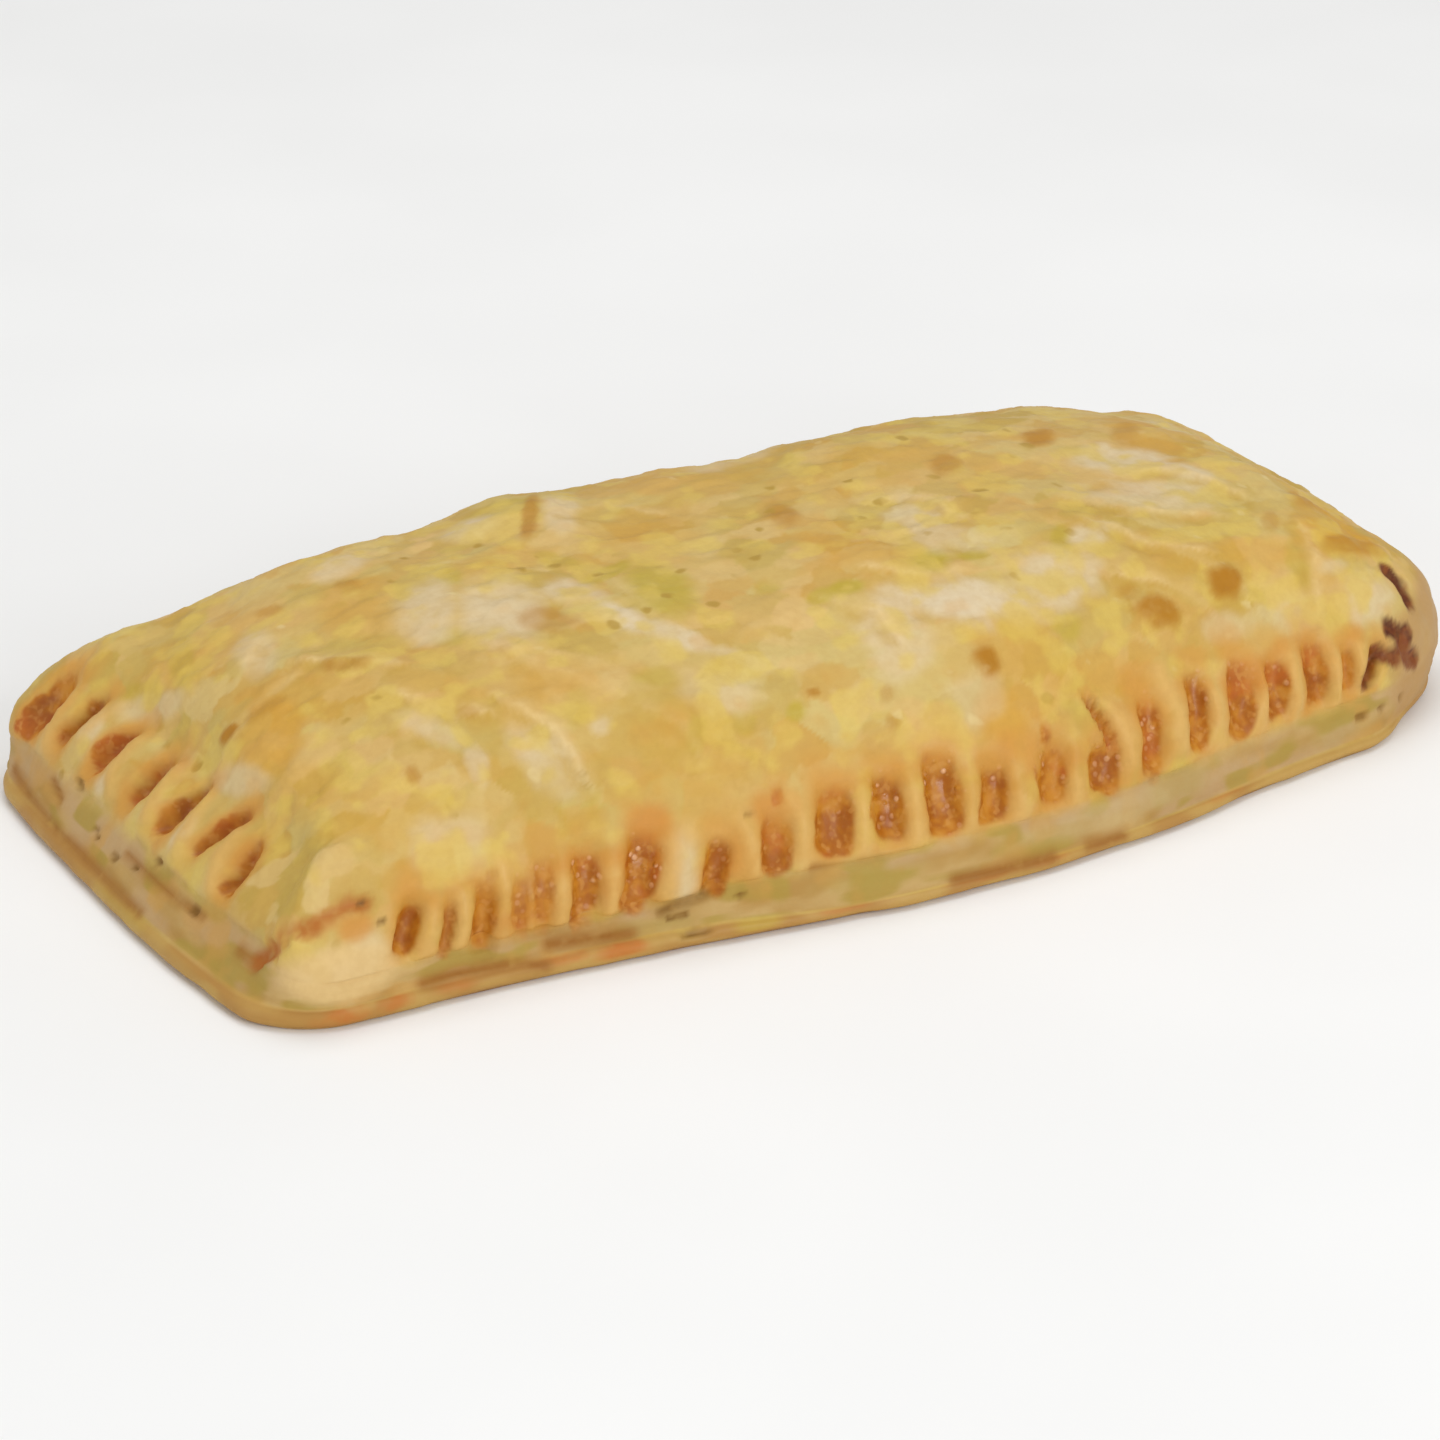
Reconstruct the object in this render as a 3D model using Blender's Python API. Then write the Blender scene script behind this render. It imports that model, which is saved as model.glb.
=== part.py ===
"""Rectangular puff-pastry hand pie, crimped all round, baked.

One closed solid: a flat underside, the thin edge of the bottom sheet, the cut
side of the pastry, a ring of pressed crimps and the pillow-shaped lid with
its uneven hummocks.  +X runs along the pie, -Y is its bulging front side and
+Z is up.  The origin is the middle of the flat underside's bounding box.
All sizes in the constants are millimetres; the mesh is written in metres.
"""
import math
import random

import bmesh
import bpy

MM = 0.001

# ---- plan -------------------------------------------------------------
LENGTH = 142.4              # end to end, over the bottom sheet
WIDTH = 73.0                # front bulge to back edge
R_FRONT_LEFT = 9.0          # corner radii of the bottom sheet
R_FRONT_RIGHT = 18.0
R_BACK_RIGHT = 17.0
R_BACK_LEFT = 11.0
FRONT_TUCK = 6.6            # how far the front side is drawn in at its ends
BULGE_X = 9.0               # where the front side bulges most
BULGE_LEFT = 40.0           # reach of the bulge to the left and to the right
BULGE_RIGHT = 34.0
LEFT_LEAN = 2.6             # the left end leans in towards the front corner
LEFT_SWELL = 1.0            # and swells a little at its middle

# ---- edge profile, from the underside up: (inset from the rim, height) --
SIDE_ROWS = (
    (0.8, 0.0), (0.0, 0.6), (0.1, 1.5), (1.3, 2.0), (1.5, 3.2), (1.8, 4.6),
    (2.4, 5.3), (1.9, 5.9), (2.4, 7.8), (3.2, 9.9), (4.5, 11.9), (6.4, 13.3))
LEFT_ROWS = (
    (0.8, 0.0), (0.0, 0.6), (0.1, 1.6), (1.9, 2.2), (2.6, 3.6), (3.4, 5.4),
    (4.2, 6.2), (4.0, 6.8), (5.2, 8.3), (6.9, 9.9), (8.9, 11.4), (11.0, 12.7))
RIGHT_ROWS = (
    (2.6, 0.0), (1.8, 0.6), (1.4, 1.5), (1.3, 2.0), (0.6, 3.3), (0.1, 4.9),
    (0.0, 6.2), (0.2, 7.6), (0.9, 9.6), (2.1, 11.8), (3.9, 13.9), (6.3, 15.5))
CRIMP_REACH = (0, 0, 0, 0, 0, 0, 0.15, 0.80, 1.0, 0.75, 0.30, 0.08)  # per row
CORNER_PUFF = (0, 0, 0, 0.8, 0.9, 0.9, 0.9, 0.85, 0.7, 0.5, 0.3, 0.15)
CORNER_SINK = 0.14          # the back left corner is puffed out but lower
LEFT_STEEPEN = 0.7          # the left end grows steeper towards it

# ---- crimps: runs of (first groove, last groove, count) along each side --
FRONT_CRIMPS = ((-54.0, -36.4, 6), (-30.3, -30.3, 1), (-23.0, 37.9, 11),
                (42.3, 51.7, 3))
RIGHT_CRIMPS = ((-15.0, 27.0, 7),)
BACK_CRIMPS = ((-57.0, 57.0, 19),)
LEFT_CRIMPS = ((-19.5, 19.4, 6), (27.4, 27.4, 1))
CRIMP_DEPTH = 1.8
CRIMP_JITTER = 0.10         # share of the pitch that a groove wanders
CRIMP_FILL = 0.46           # half width of a groove as a share of the pitch
PLAIN_PITCH = 2.6           # column spacing where there is no crimp

# ---- lid ----------------------------------------------------------------
CROWN = ((-72.0, 21.5), (-50.0, 23.0), (-25.0, 24.1), (0.0, 23.8),
         (25.0, 24.2), (45.0, 23.4), (72.0, 23.4))   # (x, height)
LID_FRONT_POWER = 2.3       # how square the pillow is, side by side
LID_BACK_POWER = 3.0
LID_END_POWER = 4.6
HUMMOCKS = (                # (x, y, reach in x, reach in y, height)
    (-41.0, 20.0, 10.0, 10.0, 1.3), (-17.5, 22.0, 6.5, 9.0, 1.9),
    (-1.0, 22.0, 6.5, 9.0, 1.6), (24.0, 19.0, 18.0, 11.0, 1.1),
    (-48.0, -5.0, 12.0, 13.0, 0.6), (6.0, -9.0, 18.0, 9.0, 0.4),
    (60.0, 2.0, 9.0, 11.0, 1.9),
    (60.0, 27.0, 9.0, 8.0, -1.4), (-58.0, 27.0, 9.0, 9.0, -1.3), (-9.0, 3.0, 9.0, 7.0, -0.5),
    (36.0, 0.0, 12.0, 6.0, -0.4))
EDGE_WAVE = 0.25            # slow waviness of the whole edge


def smooth(t):
    t = min(1.0, max(0.0, t))
    return t * t * (3.0 - 2.0 * t)


def smooth_table(table, x):
    """Heights joined by smooth steps between the named stations."""
    if x <= table[0][0]:
        return table[0][1]
    for (x0, z0), (x1, z1) in zip(table, table[1:]):
        if x <= x1:
            return z0 + (z1 - z0) * smooth((x - x0) / (x1 - x0))
    return table[-1][1]


# Sides in order: 0 front, 1 right end, 2 back, 3 left end.  Each one runs
# from the middle of one corner arc to the middle of the next.
HALF_L, HALF_W = LENGTH / 2, WIDTH / 2
CORNERS = (R_FRONT_LEFT, R_FRONT_RIGHT, R_BACK_RIGHT, R_BACK_LEFT)


def side_sizes(side):
    along, across = ((HALF_L, HALF_W), (HALF_W, HALF_L))[side % 2]
    r0, r1 = CORNERS[side], CORNERS[(side + 1) % 4]
    arc0, arc1 = math.pi * r0 / 4, math.pi * r1 / 4
    straight = 2 * along - r0 - r1
    return along, across, r0, r1, arc0, straight, arc1


def side_point(side, s):
    """Point and outward direction at arc length s along a side."""
    along, across, r0, r1, arc0, straight, arc1 = side_sizes(side)
    if s < arc0:
        a = math.pi / 4 - s / r0
        t, o = -along + r0 - r0 * math.sin(a), across - r0 + r0 * math.cos(a)
        nt, no = -math.sin(a), math.cos(a)
    elif s < arc0 + straight:
        t, o, nt, no = -along + r0 + (s - arc0), across, 0.0, 1.0
    else:
        a = (s - arc0 - straight) / r1
        t, o = along - r1 + r1 * math.sin(a), across - r1 + r1 * math.cos(a)
        nt, no = math.sin(a), math.cos(a)
    return (((t, -o), (nt, -no)), ((o, t), (no, nt)),
            ((-t, o), (-nt, no)), ((-o, -t), (-no, -nt)))[side]


def crimp_grooves():
    """Per side: (arc length, half width, depth) of every pressed groove."""
    rnd = random.Random(17)
    sides = []
    for side, runs in enumerate((FRONT_CRIMPS, RIGHT_CRIMPS,
                                 BACK_CRIMPS, LEFT_CRIMPS)):
        along, _, r0, _, arc0, _, _ = side_sizes(side)
        turn = 1.0 if side in (0, 1) else -1.0
        grooves = []
        for first, last, count in runs:
            pitch = (last - first) / (count - 1) if count > 1 else 6.5
            for i in range(count):
                place = first + pitch * i
                place += pitch * CRIMP_JITTER * rnd.uniform(-1, 1)
                s = place * turn + along - r0 + arc0
                half = pitch * CRIMP_FILL * rnd.uniform(0.9, 1.08)
                depth = CRIMP_DEPTH * rnd.uniform(0.8, 1.12)
                depth *= min(1.0, pitch / 6.0)
                grooves.append((s, half, depth))
        sides.append(sorted(grooves))
    return sides


def groove_depth(grooves, s):
    deep = 0.0
    for centre, half, depth in grooves:
        w = abs(s - centre) / half
        if w < 1.0:
            deep = max(deep, depth * (0.5 + 0.5 * math.cos(math.pi * w)) ** 0.8)
    return deep


def side_columns(side, grooves):
    """Arc lengths of the mesh columns: four to a crimp, fewer elsewhere."""
    _, _, _, _, arc0, straight, arc1 = side_sizes(side)
    total = arc0 + straight + arc1
    marks = [0.0]
    for centre, half, _ in grooves:
        lead = centre - half
        gap = lead - marks[-1]
        plain = int(gap // PLAIN_PITCH)
        start = marks[-1]
        for k in range(1, plain + 1):
            marks.append(start + gap * k / (plain + 1))
        if lead - marks[-1] > 0.6:
            marks.append(lead)
        for part in (-0.45, 0.0, 0.45):
            marks.append(centre + half * part)
        marks.append(centre + half)
    gap = total - marks[-1]
    plain = int(gap // PLAIN_PITCH)
    start = marks[-1]
    for k in range(1, plain + 1):
        marks.append(start + gap * k / (plain + 1))
    return marks, total


def pad_columns(marks, total, count):
    """Split the widest gaps until the side has the wanted column count."""
    marks = list(marks)
    while len(marks) < count:
        ends = marks[1:] + [total]
        gaps = [b - a for a, b in zip(marks, ends)]
        k = gaps.index(max(gaps))
        marks.insert(k + 1, marks[k] + gaps[k] / 2)
    return marks


def rows_at(nx, ny, py):
    """Edge profile for an outward direction: long side, left or right end."""
    left, right = max(0.0, -nx) ** 3, max(0.0, nx) ** 2
    left *= 1.0 - LEFT_STEEPEN * smooth((py - 4.0) / 26.0)
    side = 1.0 - left - right
    rows = [(a[0] * side + b[0] * left + c[0] * right,
             a[1] * side + b[1] * left + c[1] * right)
            for a, b, c in zip(SIDE_ROWS, LEFT_ROWS, RIGHT_ROWS)]
    if nx < 0.0 and ny > 0.0:
        corner = 4.0 * nx * nx * ny * ny
        rows = [(d * (1.0 - corner * puff), z * (1.0 - CORNER_SINK * corner))
                for (d, z), puff in zip(rows, CORNER_PUFF)]
    return rows


def plan_warp(x, y):
    """Draw the front side in at its ends and lean the left end."""
    frontness = min(1.0, max(0.0, (HALF_W - y) / WIDTH))
    reach = BULGE_LEFT if x < BULGE_X else BULGE_RIGHT
    tuck = FRONT_TUCK * (1.0 - math.exp(-((x - BULGE_X) / reach) ** 2))
    leftness = min(1.0, max(0.0, -x / HALF_L)) ** 2
    lean = LEFT_LEAN * leftness * frontness ** 2
    swell = LEFT_SWELL * leftness * (1.0 - (2.0 * frontness - 1.0) ** 2)
    return x + lean - swell, y + tuck * frontness


def lid_height(x, y, rim, u, v):
    """Pillow height over the rim at grid position u, v in -1..1."""
    power = LID_BACK_POWER if v > 0 else LID_FRONT_POWER
    pillow = (1.0 - abs(u) ** LID_END_POWER) * (1.0 - abs(v) ** power)
    z = rim + (smooth_table(CROWN, x) - rim) * pillow
    for cx, cy, rx, ry, h in HUMMOCKS:
        z += pillow * h * math.exp(-((x - cx) / rx) ** 2 - ((y - cy) / ry) ** 2)
    return z


def edge_point(side, s, wave_at):
    """The column of profile points at one place on the edge."""
    (px, py), (nx, ny) = side_point(side, s)
    rows = rows_at(nx, ny, py)
    deep = groove_depth(GROOVES[side], s)
    wave = EDGE_WAVE * (math.sin(wave_at * 0.061 + 0.7)
                        + 0.6 * math.sin(wave_at * 0.153 + 2.1))
    column = []
    for k, (inset, z) in enumerate(rows):
        below, above = rows[max(0, k - 1)], rows[min(len(rows) - 1, k + 1)]
        run, rise = above[0] - below[0], above[1] - below[1]
        size = math.hypot(run, rise) or 1.0
        press = deep * CRIMP_REACH[k]
        inset += press * rise / size
        z -= press * run / size
        if 0 < k < 8:
            inset += wave * (0.5 if k < 3 else 1.0)
        x, y = plan_warp(px - nx * inset, py - ny * inset)
        column.append((x, y, max(z, 0.0)))
    return column


GROOVES = crimp_grooves()


def build_pie():
    sides = [side_columns(k, GROOVES[k]) for k in range(4)]
    counts = [len(marks) for marks, _ in sides]
    long_count = max(counts[0], counts[2])
    end_count = max(counts[1], counts[3])
    long_count += long_count % 2
    end_count += end_count % 2
    wanted = (long_count, end_count, long_count, end_count)

    bm = bmesh.new()
    columns = []
    travelled = 0.0
    for side, (marks, total) in enumerate(sides):
        for s in pad_columns(marks, total, wanted[side]):
            points = edge_point(side, s, travelled + s)
            columns.append([bm.verts.new((x * MM, y * MM, z * MM))
                            for x, y, z in points])
        travelled += total
    n = len(columns)
    rows = len(SIDE_ROWS)

    # side wall
    for j in range(n):
        a, b = columns[j], columns[(j + 1) % n]
        for k in range(rows - 1):
            bm.faces.new((a[k], b[k], b[k + 1], a[k + 1]))
    # flat underside, a fan about its middle
    hub = bm.verts.new((0.0, 0.0, 0.0))
    for j in range(n):
        bm.faces.new((columns[(j + 1) % n][0], columns[j][0], hub))

    # lid: every other column carries on as a grid of patches
    nu, nv = long_count // 2, end_count // 2
    rim = [columns[j][rows - 1] for j in range(0, n, 2)]
    front = rim[0:nu + 1]
    right = rim[nu:nu + nv + 1]
    back = list(reversed(rim[nu + nv:2 * nu + nv + 1]))
    left = list(reversed(rim[2 * nu + nv:] + rim[:1]))

    grid = {}
    for i in range(nu + 1):
        for j in range(nv + 1):
            u, v = i / nu, j / nv
            p = [(1 - v) * front[i].co[c] + v * back[i].co[c]
                 + (1 - u) * left[j].co[c] + u * right[j].co[c]
                 - ((1 - u) * (1 - v) * front[0].co[c]
                    + u * (1 - v) * front[nu].co[c]
                    + (1 - u) * v * back[0].co[c] + u * v * back[nu].co[c])
                 for c in range(3)]
            if i in (0, nu) or j in (0, nv):
                grid[i, j] = {0: left[j], nu: right[j]}.get(i) or (
                    front[i] if j == 0 else back[i])
                continue
            x, y, z = p[0] / MM, p[1] / MM, p[2] / MM
            z = lid_height(x, y, z, 2 * u - 1, 2 * v - 1)
            grid[i, j] = bm.verts.new((x * MM, y * MM, z * MM))
    for i in range(nu):
        for j in range(nv):
            ring = []
            corners = (grid[i, j], grid[i + 1, j],
                       grid[i + 1, j + 1], grid[i, j + 1])
            # a patch on the rim takes in the odd column between its corners
            for c in range(4):
                ring.append(corners[c])
                odd = None
                if c == 0 and j == 0:
                    odd = 2 * i + 1
                elif c == 1 and i == nu - 1:
                    odd = 2 * nu + 2 * j + 1
                elif c == 2 and j == nv - 1:
                    odd = 2 * (nu + nv) + 2 * (nu - 1 - i) + 1
                elif c == 3 and i == 0:
                    odd = 2 * (2 * nu + nv) + 2 * (nv - 1 - j) + 1
                if odd is not None:
                    ring.append(columns[odd % n][rows - 1])
            bm.faces.new(ring)
    bm.normal_update()
    bmesh.ops.triangulate(
        bm, faces=[f for f in bm.faces if len(f.verts) > 4 and f.normal.z > 0])

    mesh = bpy.data.meshes.new("pie")
    bm.to_mesh(mesh)
    bm.free()
    mesh.shade_smooth()
    mesh.set_sharp_from_angle(angle=math.radians(50))
    obj = bpy.data.objects.new("pie", mesh)
    bpy.context.scene.collection.objects.link(obj)
    return obj


def pastry_material():
    mat = bpy.data.materials.new("baked_puff_pastry")
    mat.use_nodes = True
    bsdf = mat.node_tree.nodes["Principled BSDF"]
    bsdf.inputs["Base Color"].default_value = (0.66, 0.43, 0.13, 1.0)
    bsdf.inputs["Roughness"].default_value = 0.55
    bsdf.inputs["Metallic"].default_value = 0.0
    return mat


def main():
    for old in list(bpy.data.objects):
        bpy.data.objects.remove(old, do_unlink=True)
    pie = build_pie()
    pie.data.materials.append(pastry_material())

    # centre the bounding box over the origin, underside at z = 0
    xs = [v.co.x for v in pie.data.vertices]
    ys = [v.co.y for v in pie.data.vertices]
    dx, dy = -(min(xs) + max(xs)) / 2, -(min(ys) + max(ys)) / 2
    for v in pie.data.vertices:
        v.co.x += dx
        v.co.y += dy


main()
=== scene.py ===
"""Looks of the crimped puff-pastry hand pie: one fine pastry skin over the solid.

Sizes here are millimetres in the pie's own frame (+X along it, -Y its bulging
front side, +Z up); meshes are written in metres.
"""
import math
import random

import bpy
import numpy as np
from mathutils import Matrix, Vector


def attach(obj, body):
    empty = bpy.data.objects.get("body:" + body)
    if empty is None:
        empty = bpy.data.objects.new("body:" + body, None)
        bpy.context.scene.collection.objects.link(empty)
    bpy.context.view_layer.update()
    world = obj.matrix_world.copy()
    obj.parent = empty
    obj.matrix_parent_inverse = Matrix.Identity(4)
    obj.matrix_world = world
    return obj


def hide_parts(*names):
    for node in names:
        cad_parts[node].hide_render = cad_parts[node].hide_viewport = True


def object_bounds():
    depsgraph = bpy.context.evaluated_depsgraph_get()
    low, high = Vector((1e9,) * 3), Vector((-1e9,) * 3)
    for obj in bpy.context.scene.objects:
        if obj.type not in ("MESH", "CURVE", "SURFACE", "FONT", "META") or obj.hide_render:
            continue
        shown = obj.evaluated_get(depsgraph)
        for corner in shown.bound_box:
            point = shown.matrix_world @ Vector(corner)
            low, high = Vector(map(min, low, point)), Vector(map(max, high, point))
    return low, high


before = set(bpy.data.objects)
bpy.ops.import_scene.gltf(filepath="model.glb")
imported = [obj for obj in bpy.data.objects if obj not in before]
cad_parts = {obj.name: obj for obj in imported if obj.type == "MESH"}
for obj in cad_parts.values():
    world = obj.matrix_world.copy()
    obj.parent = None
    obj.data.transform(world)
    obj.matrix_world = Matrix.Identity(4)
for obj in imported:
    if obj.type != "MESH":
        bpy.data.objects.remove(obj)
CAD_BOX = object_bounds()
MM = 0.001

# ---------------------------------------------------------------- sizes ---
LENGTH, WIDTH = 142.4, 73.0
HALF_L, HALF_W = LENGTH / 2, WIDTH / 2
CORNERS = (9.0, 18.0, 17.0, 11.0)       # front left, front right, back right, back left
FRONT_TUCK, BULGE_X, BULGE_LEFT, BULGE_RIGHT = 6.6, 9.0, 40.0, 34.0
LEFT_LEAN, LEFT_SWELL = 2.6, 1.0

# edge profile, from the underside up: (inset from the rim, height)
SIDE_ROWS = (
    (0.8, 0.0), (0.0, 0.6), (0.1, 1.5), (1.0, 2.1), (1.4, 3.2), (1.8, 4.6),
    (2.1, 5.3), (2.0, 5.9), (2.4, 7.8), (3.2, 9.9), (4.5, 11.9), (6.4, 13.3))
LEFT_ROWS = (
    (0.8, 0.0), (0.0, 0.6), (0.2, 1.6), (1.2, 2.3), (2.2, 3.6), (3.4, 5.2),
    (4.1, 6.1), (4.5, 6.8), (5.4, 8.3), (6.9, 9.9), (8.9, 11.4), (11.0, 12.7))
RIGHT_ROWS = (
    (2.6, 0.0), (1.8, 0.6), (1.4, 1.5), (1.3, 2.0), (0.6, 3.3), (0.1, 4.9),
    (0.0, 6.2), (0.2, 7.6), (0.9, 9.6), (2.1, 11.8), (3.9, 13.9), (6.3, 15.5))
ROW_STEPS = (2, 2, 4, 4, 4, 2, 3, 5, 5, 5, 4)       # fine rows per profile row
CORNER_PUFF = (0, 0, 0, 0.8, 0.9, 0.9, 0.9, 0.85, 0.7, 0.5, 0.3, 0.15)
CORNER_SINK = 0.07
LEFT_STEEPEN = 0.7
EDGE_WAVE = 0.25

CROWN = ((-72.0, 21.5), (-50.0, 23.0), (-25.0, 24.1), (0.0, 23.8),
         (25.0, 24.2), (45.0, 23.4), (72.0, 23.4))
LID_FRONT_POWER, LID_BACK_POWER, LID_END_POWER = 2.3, 3.0, 4.6
HUMMOCKS = (
    (-41.0, 20.0, 10.0, 10.0, 1.3), (-17.5, 22.0, 6.5, 9.0, 1.9),
    (-1.0, 22.0, 6.5, 9.0, 1.6), (24.0, 19.0, 18.0, 11.0, 1.1),
    (-48.0, -5.0, 12.0, 13.0, 0.6), (6.0, -9.0, 18.0, 9.0, 0.4),
    (58.0, 2.0, 9.0, 11.0, 1.3), (64.0, -4.0, 6.0, 9.0, -1.5),
    (60.0, 27.0, 9.0, 8.0, -2.1), (-58.0, 27.0, 9.0, 9.0, -1.3),
    (-9.0, 3.0, 9.0, 7.0, -0.5), (36.0, 0.0, 12.0, 6.0, -0.4),
    (-57.0, 24.0, 9.0, 10.0, -1.7), (40.0, 29.0, 12.0, 9.0, -0.9),
    (62.0, 16.0, 8.0, 14.0, -1.9), (-18.0, 30.0, 9.0, 6.0, 2.2),
    (59.0, 23.0, 8.0, 7.0, -1.2))

# crimps of the two shown sides: (top of the slot, bottom, half width, depth,
# browning, gloss)
FRONT_SLOTS = (
    ((-52.7, -27.3, 9.1), (-54.9, -28.5, 4.6), 1.3, 1.00, 1.10, 0.0),
    ((-49.1, -27.4, 8.4), (-50.4, -29.0, 4.1), 0.8, 0.55, 0.60, 0.0),
    ((-45.4, -28.0, 8.4), (-47.0, -29.4, 3.1), 1.3, 0.90, 0.95, 0.2),
    ((-44.5, -27.3, 11.0), (-44.6, -28.0, 9.6), 0.6, 0.30, 0.40, 0.0),
    ((-41.7, -28.1, 9.3), (-42.8, -29.6, 3.4), 1.1, 0.45, 0.60, 0.3),
    ((-39.3, -27.6, 10.3), (-40.8, -29.8, 3.4), 1.2, 0.50, 0.60, 0.3),
    ((-35.1, -28.0, 10.1), (-36.3, -30.1, 3.5), 1.5, 0.85, 0.85, 0.8),
    ((-29.3, -28.5, 9.9), (-31.5, -30.6, 4.2), 1.9, 0.95, 0.95, 1.0),
    ((-22.2, -29.8, 8.5), (-23.7, -31.7, 4.4), 1.4, 0.80, 0.90, 0.2),
    ((-16.0, -30.1, 9.6), (-17.2, -32.3, 5.0), 1.6, 0.75, 0.75, 0.2),
    ((-15.2, -28.7, 12.7), (-15.9, -29.9, 10.6), 0.7, 0.30, 0.55, 0.5),
    ((-10.0, -30.6, 11.2), (-11.3, -32.7, 5.8), 2.1, 0.95, 1.00, 0.3),
    ((-4.5, -31.2, 11.3), (-5.4, -33.2, 5.6), 1.7, 1.05, 1.00, 1.0),
    ((1.3, -31.5, 11.6), (0.5, -33.9, 5.5), 2.1, 1.05, 1.00, 1.0),
    ((6.7, -32.3, 10.6), (5.8, -34.1, 5.6), 1.7, 0.95, 0.95, 0.6),
    ((13.6, -31.6, 10.5), (12.4, -34.0, 5.2), 1.8, 0.90, 0.95, 0.8),
    ((13.4, -30.4, 12.8), (13.1, -31.8, 11.0), 0.8, 0.30, 0.70, 0.1),
    ((19.6, -31.8, 9.1), (18.5, -34.1, 4.8), 2.1, 1.00, 1.00, 0.5),
    ((19.5, -29.6, 13.1), (21.1, -32.3, 7.5), 0.6, 0.80, 0.95, 0.3),
    ((26.1, -30.3, 11.7), (24.7, -33.0, 5.3), 1.5, 0.85, 0.95, 0.6),
    ((32.7, -29.1, 11.9), (31.1, -31.5, 5.9), 1.3, 0.95, 1.00, 0.6),
    ((38.6, -28.2, 11.3), (36.5, -30.7, 5.7), 1.8, 0.80, 1.00, 0.4),
    ((42.9, -28.3, 11.0), (42.0, -29.7, 5.6), 1.5, 0.85, 1.05, 0.4),
    ((48.1, -27.6, 11.4), (47.4, -29.2, 5.2), 1.6, 0.90, 1.05, 0.3),
    ((52.0, -27.4, 10.2), (51.3, -28.6, 6.1), 1.0, 0.70, 1.00, 0.3),
    ((56.2, -27.9, 9.6), (54.1, -28.9, 6.5), 1.0, 0.80, 1.00, 0.5))
LEFT_SLOTS = (
    ((-64.7, 25.7, 12.0), (-68.0, 28.0, 5.9), 1.9, 0.85, 1.15, 0.2),
    ((-63.5, 20.1, 11.8), (-67.1, 21.9, 7.2), 1.1, 1.15, 1.00, 0.3),
    ((-62.8, 13.2, 11.0), (-66.5, 15.3, 6.7), 1.3, 1.15, 1.00, 0.2),
    ((-62.3, 6.0, 11.2), (-66.2, 7.2, 6.6), 1.5, 1.10, 0.90, 0.3),
    ((-61.8, -1.6, 11.3), (-65.5, 0.1, 6.9), 1.4, 1.15, 1.00, 0.3),
    ((-60.9, -8.9, 11.7), (-64.6, -6.7, 7.3), 1.0, 1.05, 0.95, 0.2),
    ((-61.8, -13.6, 10.7), (-65.0, -14.2, 6.7), 1.3, 1.05, 1.00, 0.3))
# crimps of the two sides turned away: runs of (first, last, count)
RIGHT_RUNS = ((-13.0, 27.0, 7),)
BACK_RUNS = ((-57.0, 57.0, 19),)
PRESS = 1.55                            # deepest press of a crimp

# soft ridges the tines leave between the crimps
RIDGE_STROKES = (
    ((28.8, -27.8, 14.1), (29.1, -29.8, 12.2), (29.1, -31.3, 10.2), (28.6, -32.2, 7.2)),
    ((21.5, -29.9, 12.8), (22.2, -31.7, 10.8), (22.1, -33.0, 7.9)),
    ((34.1, -30.0, 10.2), (33.7, -31.3, 6.2)), ((-38.1, -28.8, 8.1), (-38.7, -29.8, 3.5)),
    ((-32.9, -29.3, 8.0), (-33.6, -30.5, 3.0)),
    ((-20.0, -30.3, 10.7), (-19.3, -31.3, 8.6), (-19.1, -32.3, 5.9)),
    ((-14.6, -30.1, 11.6), (-14.2, -31.4, 8.9), (-13.9, -32.9, 5.9)),
    ((-7.8, -31.9, 9.8), (-8.6, -33.3, 5.7)), ((-2.5, -32.7, 9.9), (-2.9, -33.9, 6.2)),
    ((3.7, -32.9, 8.7), (3.2, -33.8, 5.7)), ((9.4, -33.3, 7.4), (8.7, -34.6, 4.8)),
    ((15.5, -33.6, 7.4), (15.2, -34.1, 5.1)), ((40.0, -29.7, 8.5), (39.5, -30.2, 6.3)),
    ((44.9, -28.4, 11.2), (44.3, -30.0, 7.5)), ((49.7, -28.7, 9.5), (49.4, -29.5, 6.0)),
    ((53.8, -27.8, 10.1), (53.0, -28.3, 6.7)), ((-48.1, -27.9, 8.9), (-48.6, -29.0, 4.5)),
    ((-51.5, -27.8, 8.2), (-51.9, -28.6, 4.8)), ((-43.5, -27.4, 10.7), (-43.6, -28.1, 9.0)),
    ((-24.6, -29.4, 10.0), (-22.0, -29.7, 9.0)), ((-27.3, -29.9, 9.5), (-28.0, -30.5, 5.7)),
    ((-63.0, 17.6, 12.1), (-64.7, 18.3, 10.4), (-65.9, 18.8, 8.5)),
    ((-63.0, 11.4, 11.2), (-65.1, 11.7, 9.1), (-67.0, 10.0, 7.6)),
    ((-62.1, 4.2, 11.2), (-64.2, 3.3, 9.7), (-66.0, 2.6, 8.2)),
    ((-62.1, -3.0, 11.3), (-64.2, -3.9, 9.8), (-65.7, -4.8, 7.9)),
    ((-62.4, -10.5, 10.9), (-64.4, -10.7, 9.3), (-65.8, -12.1, 7.6)),
    ((-65.2, 23.8, 11.6), (-67.1, 24.1, 9.3), (-68.2, 23.3, 7.1)))
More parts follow.
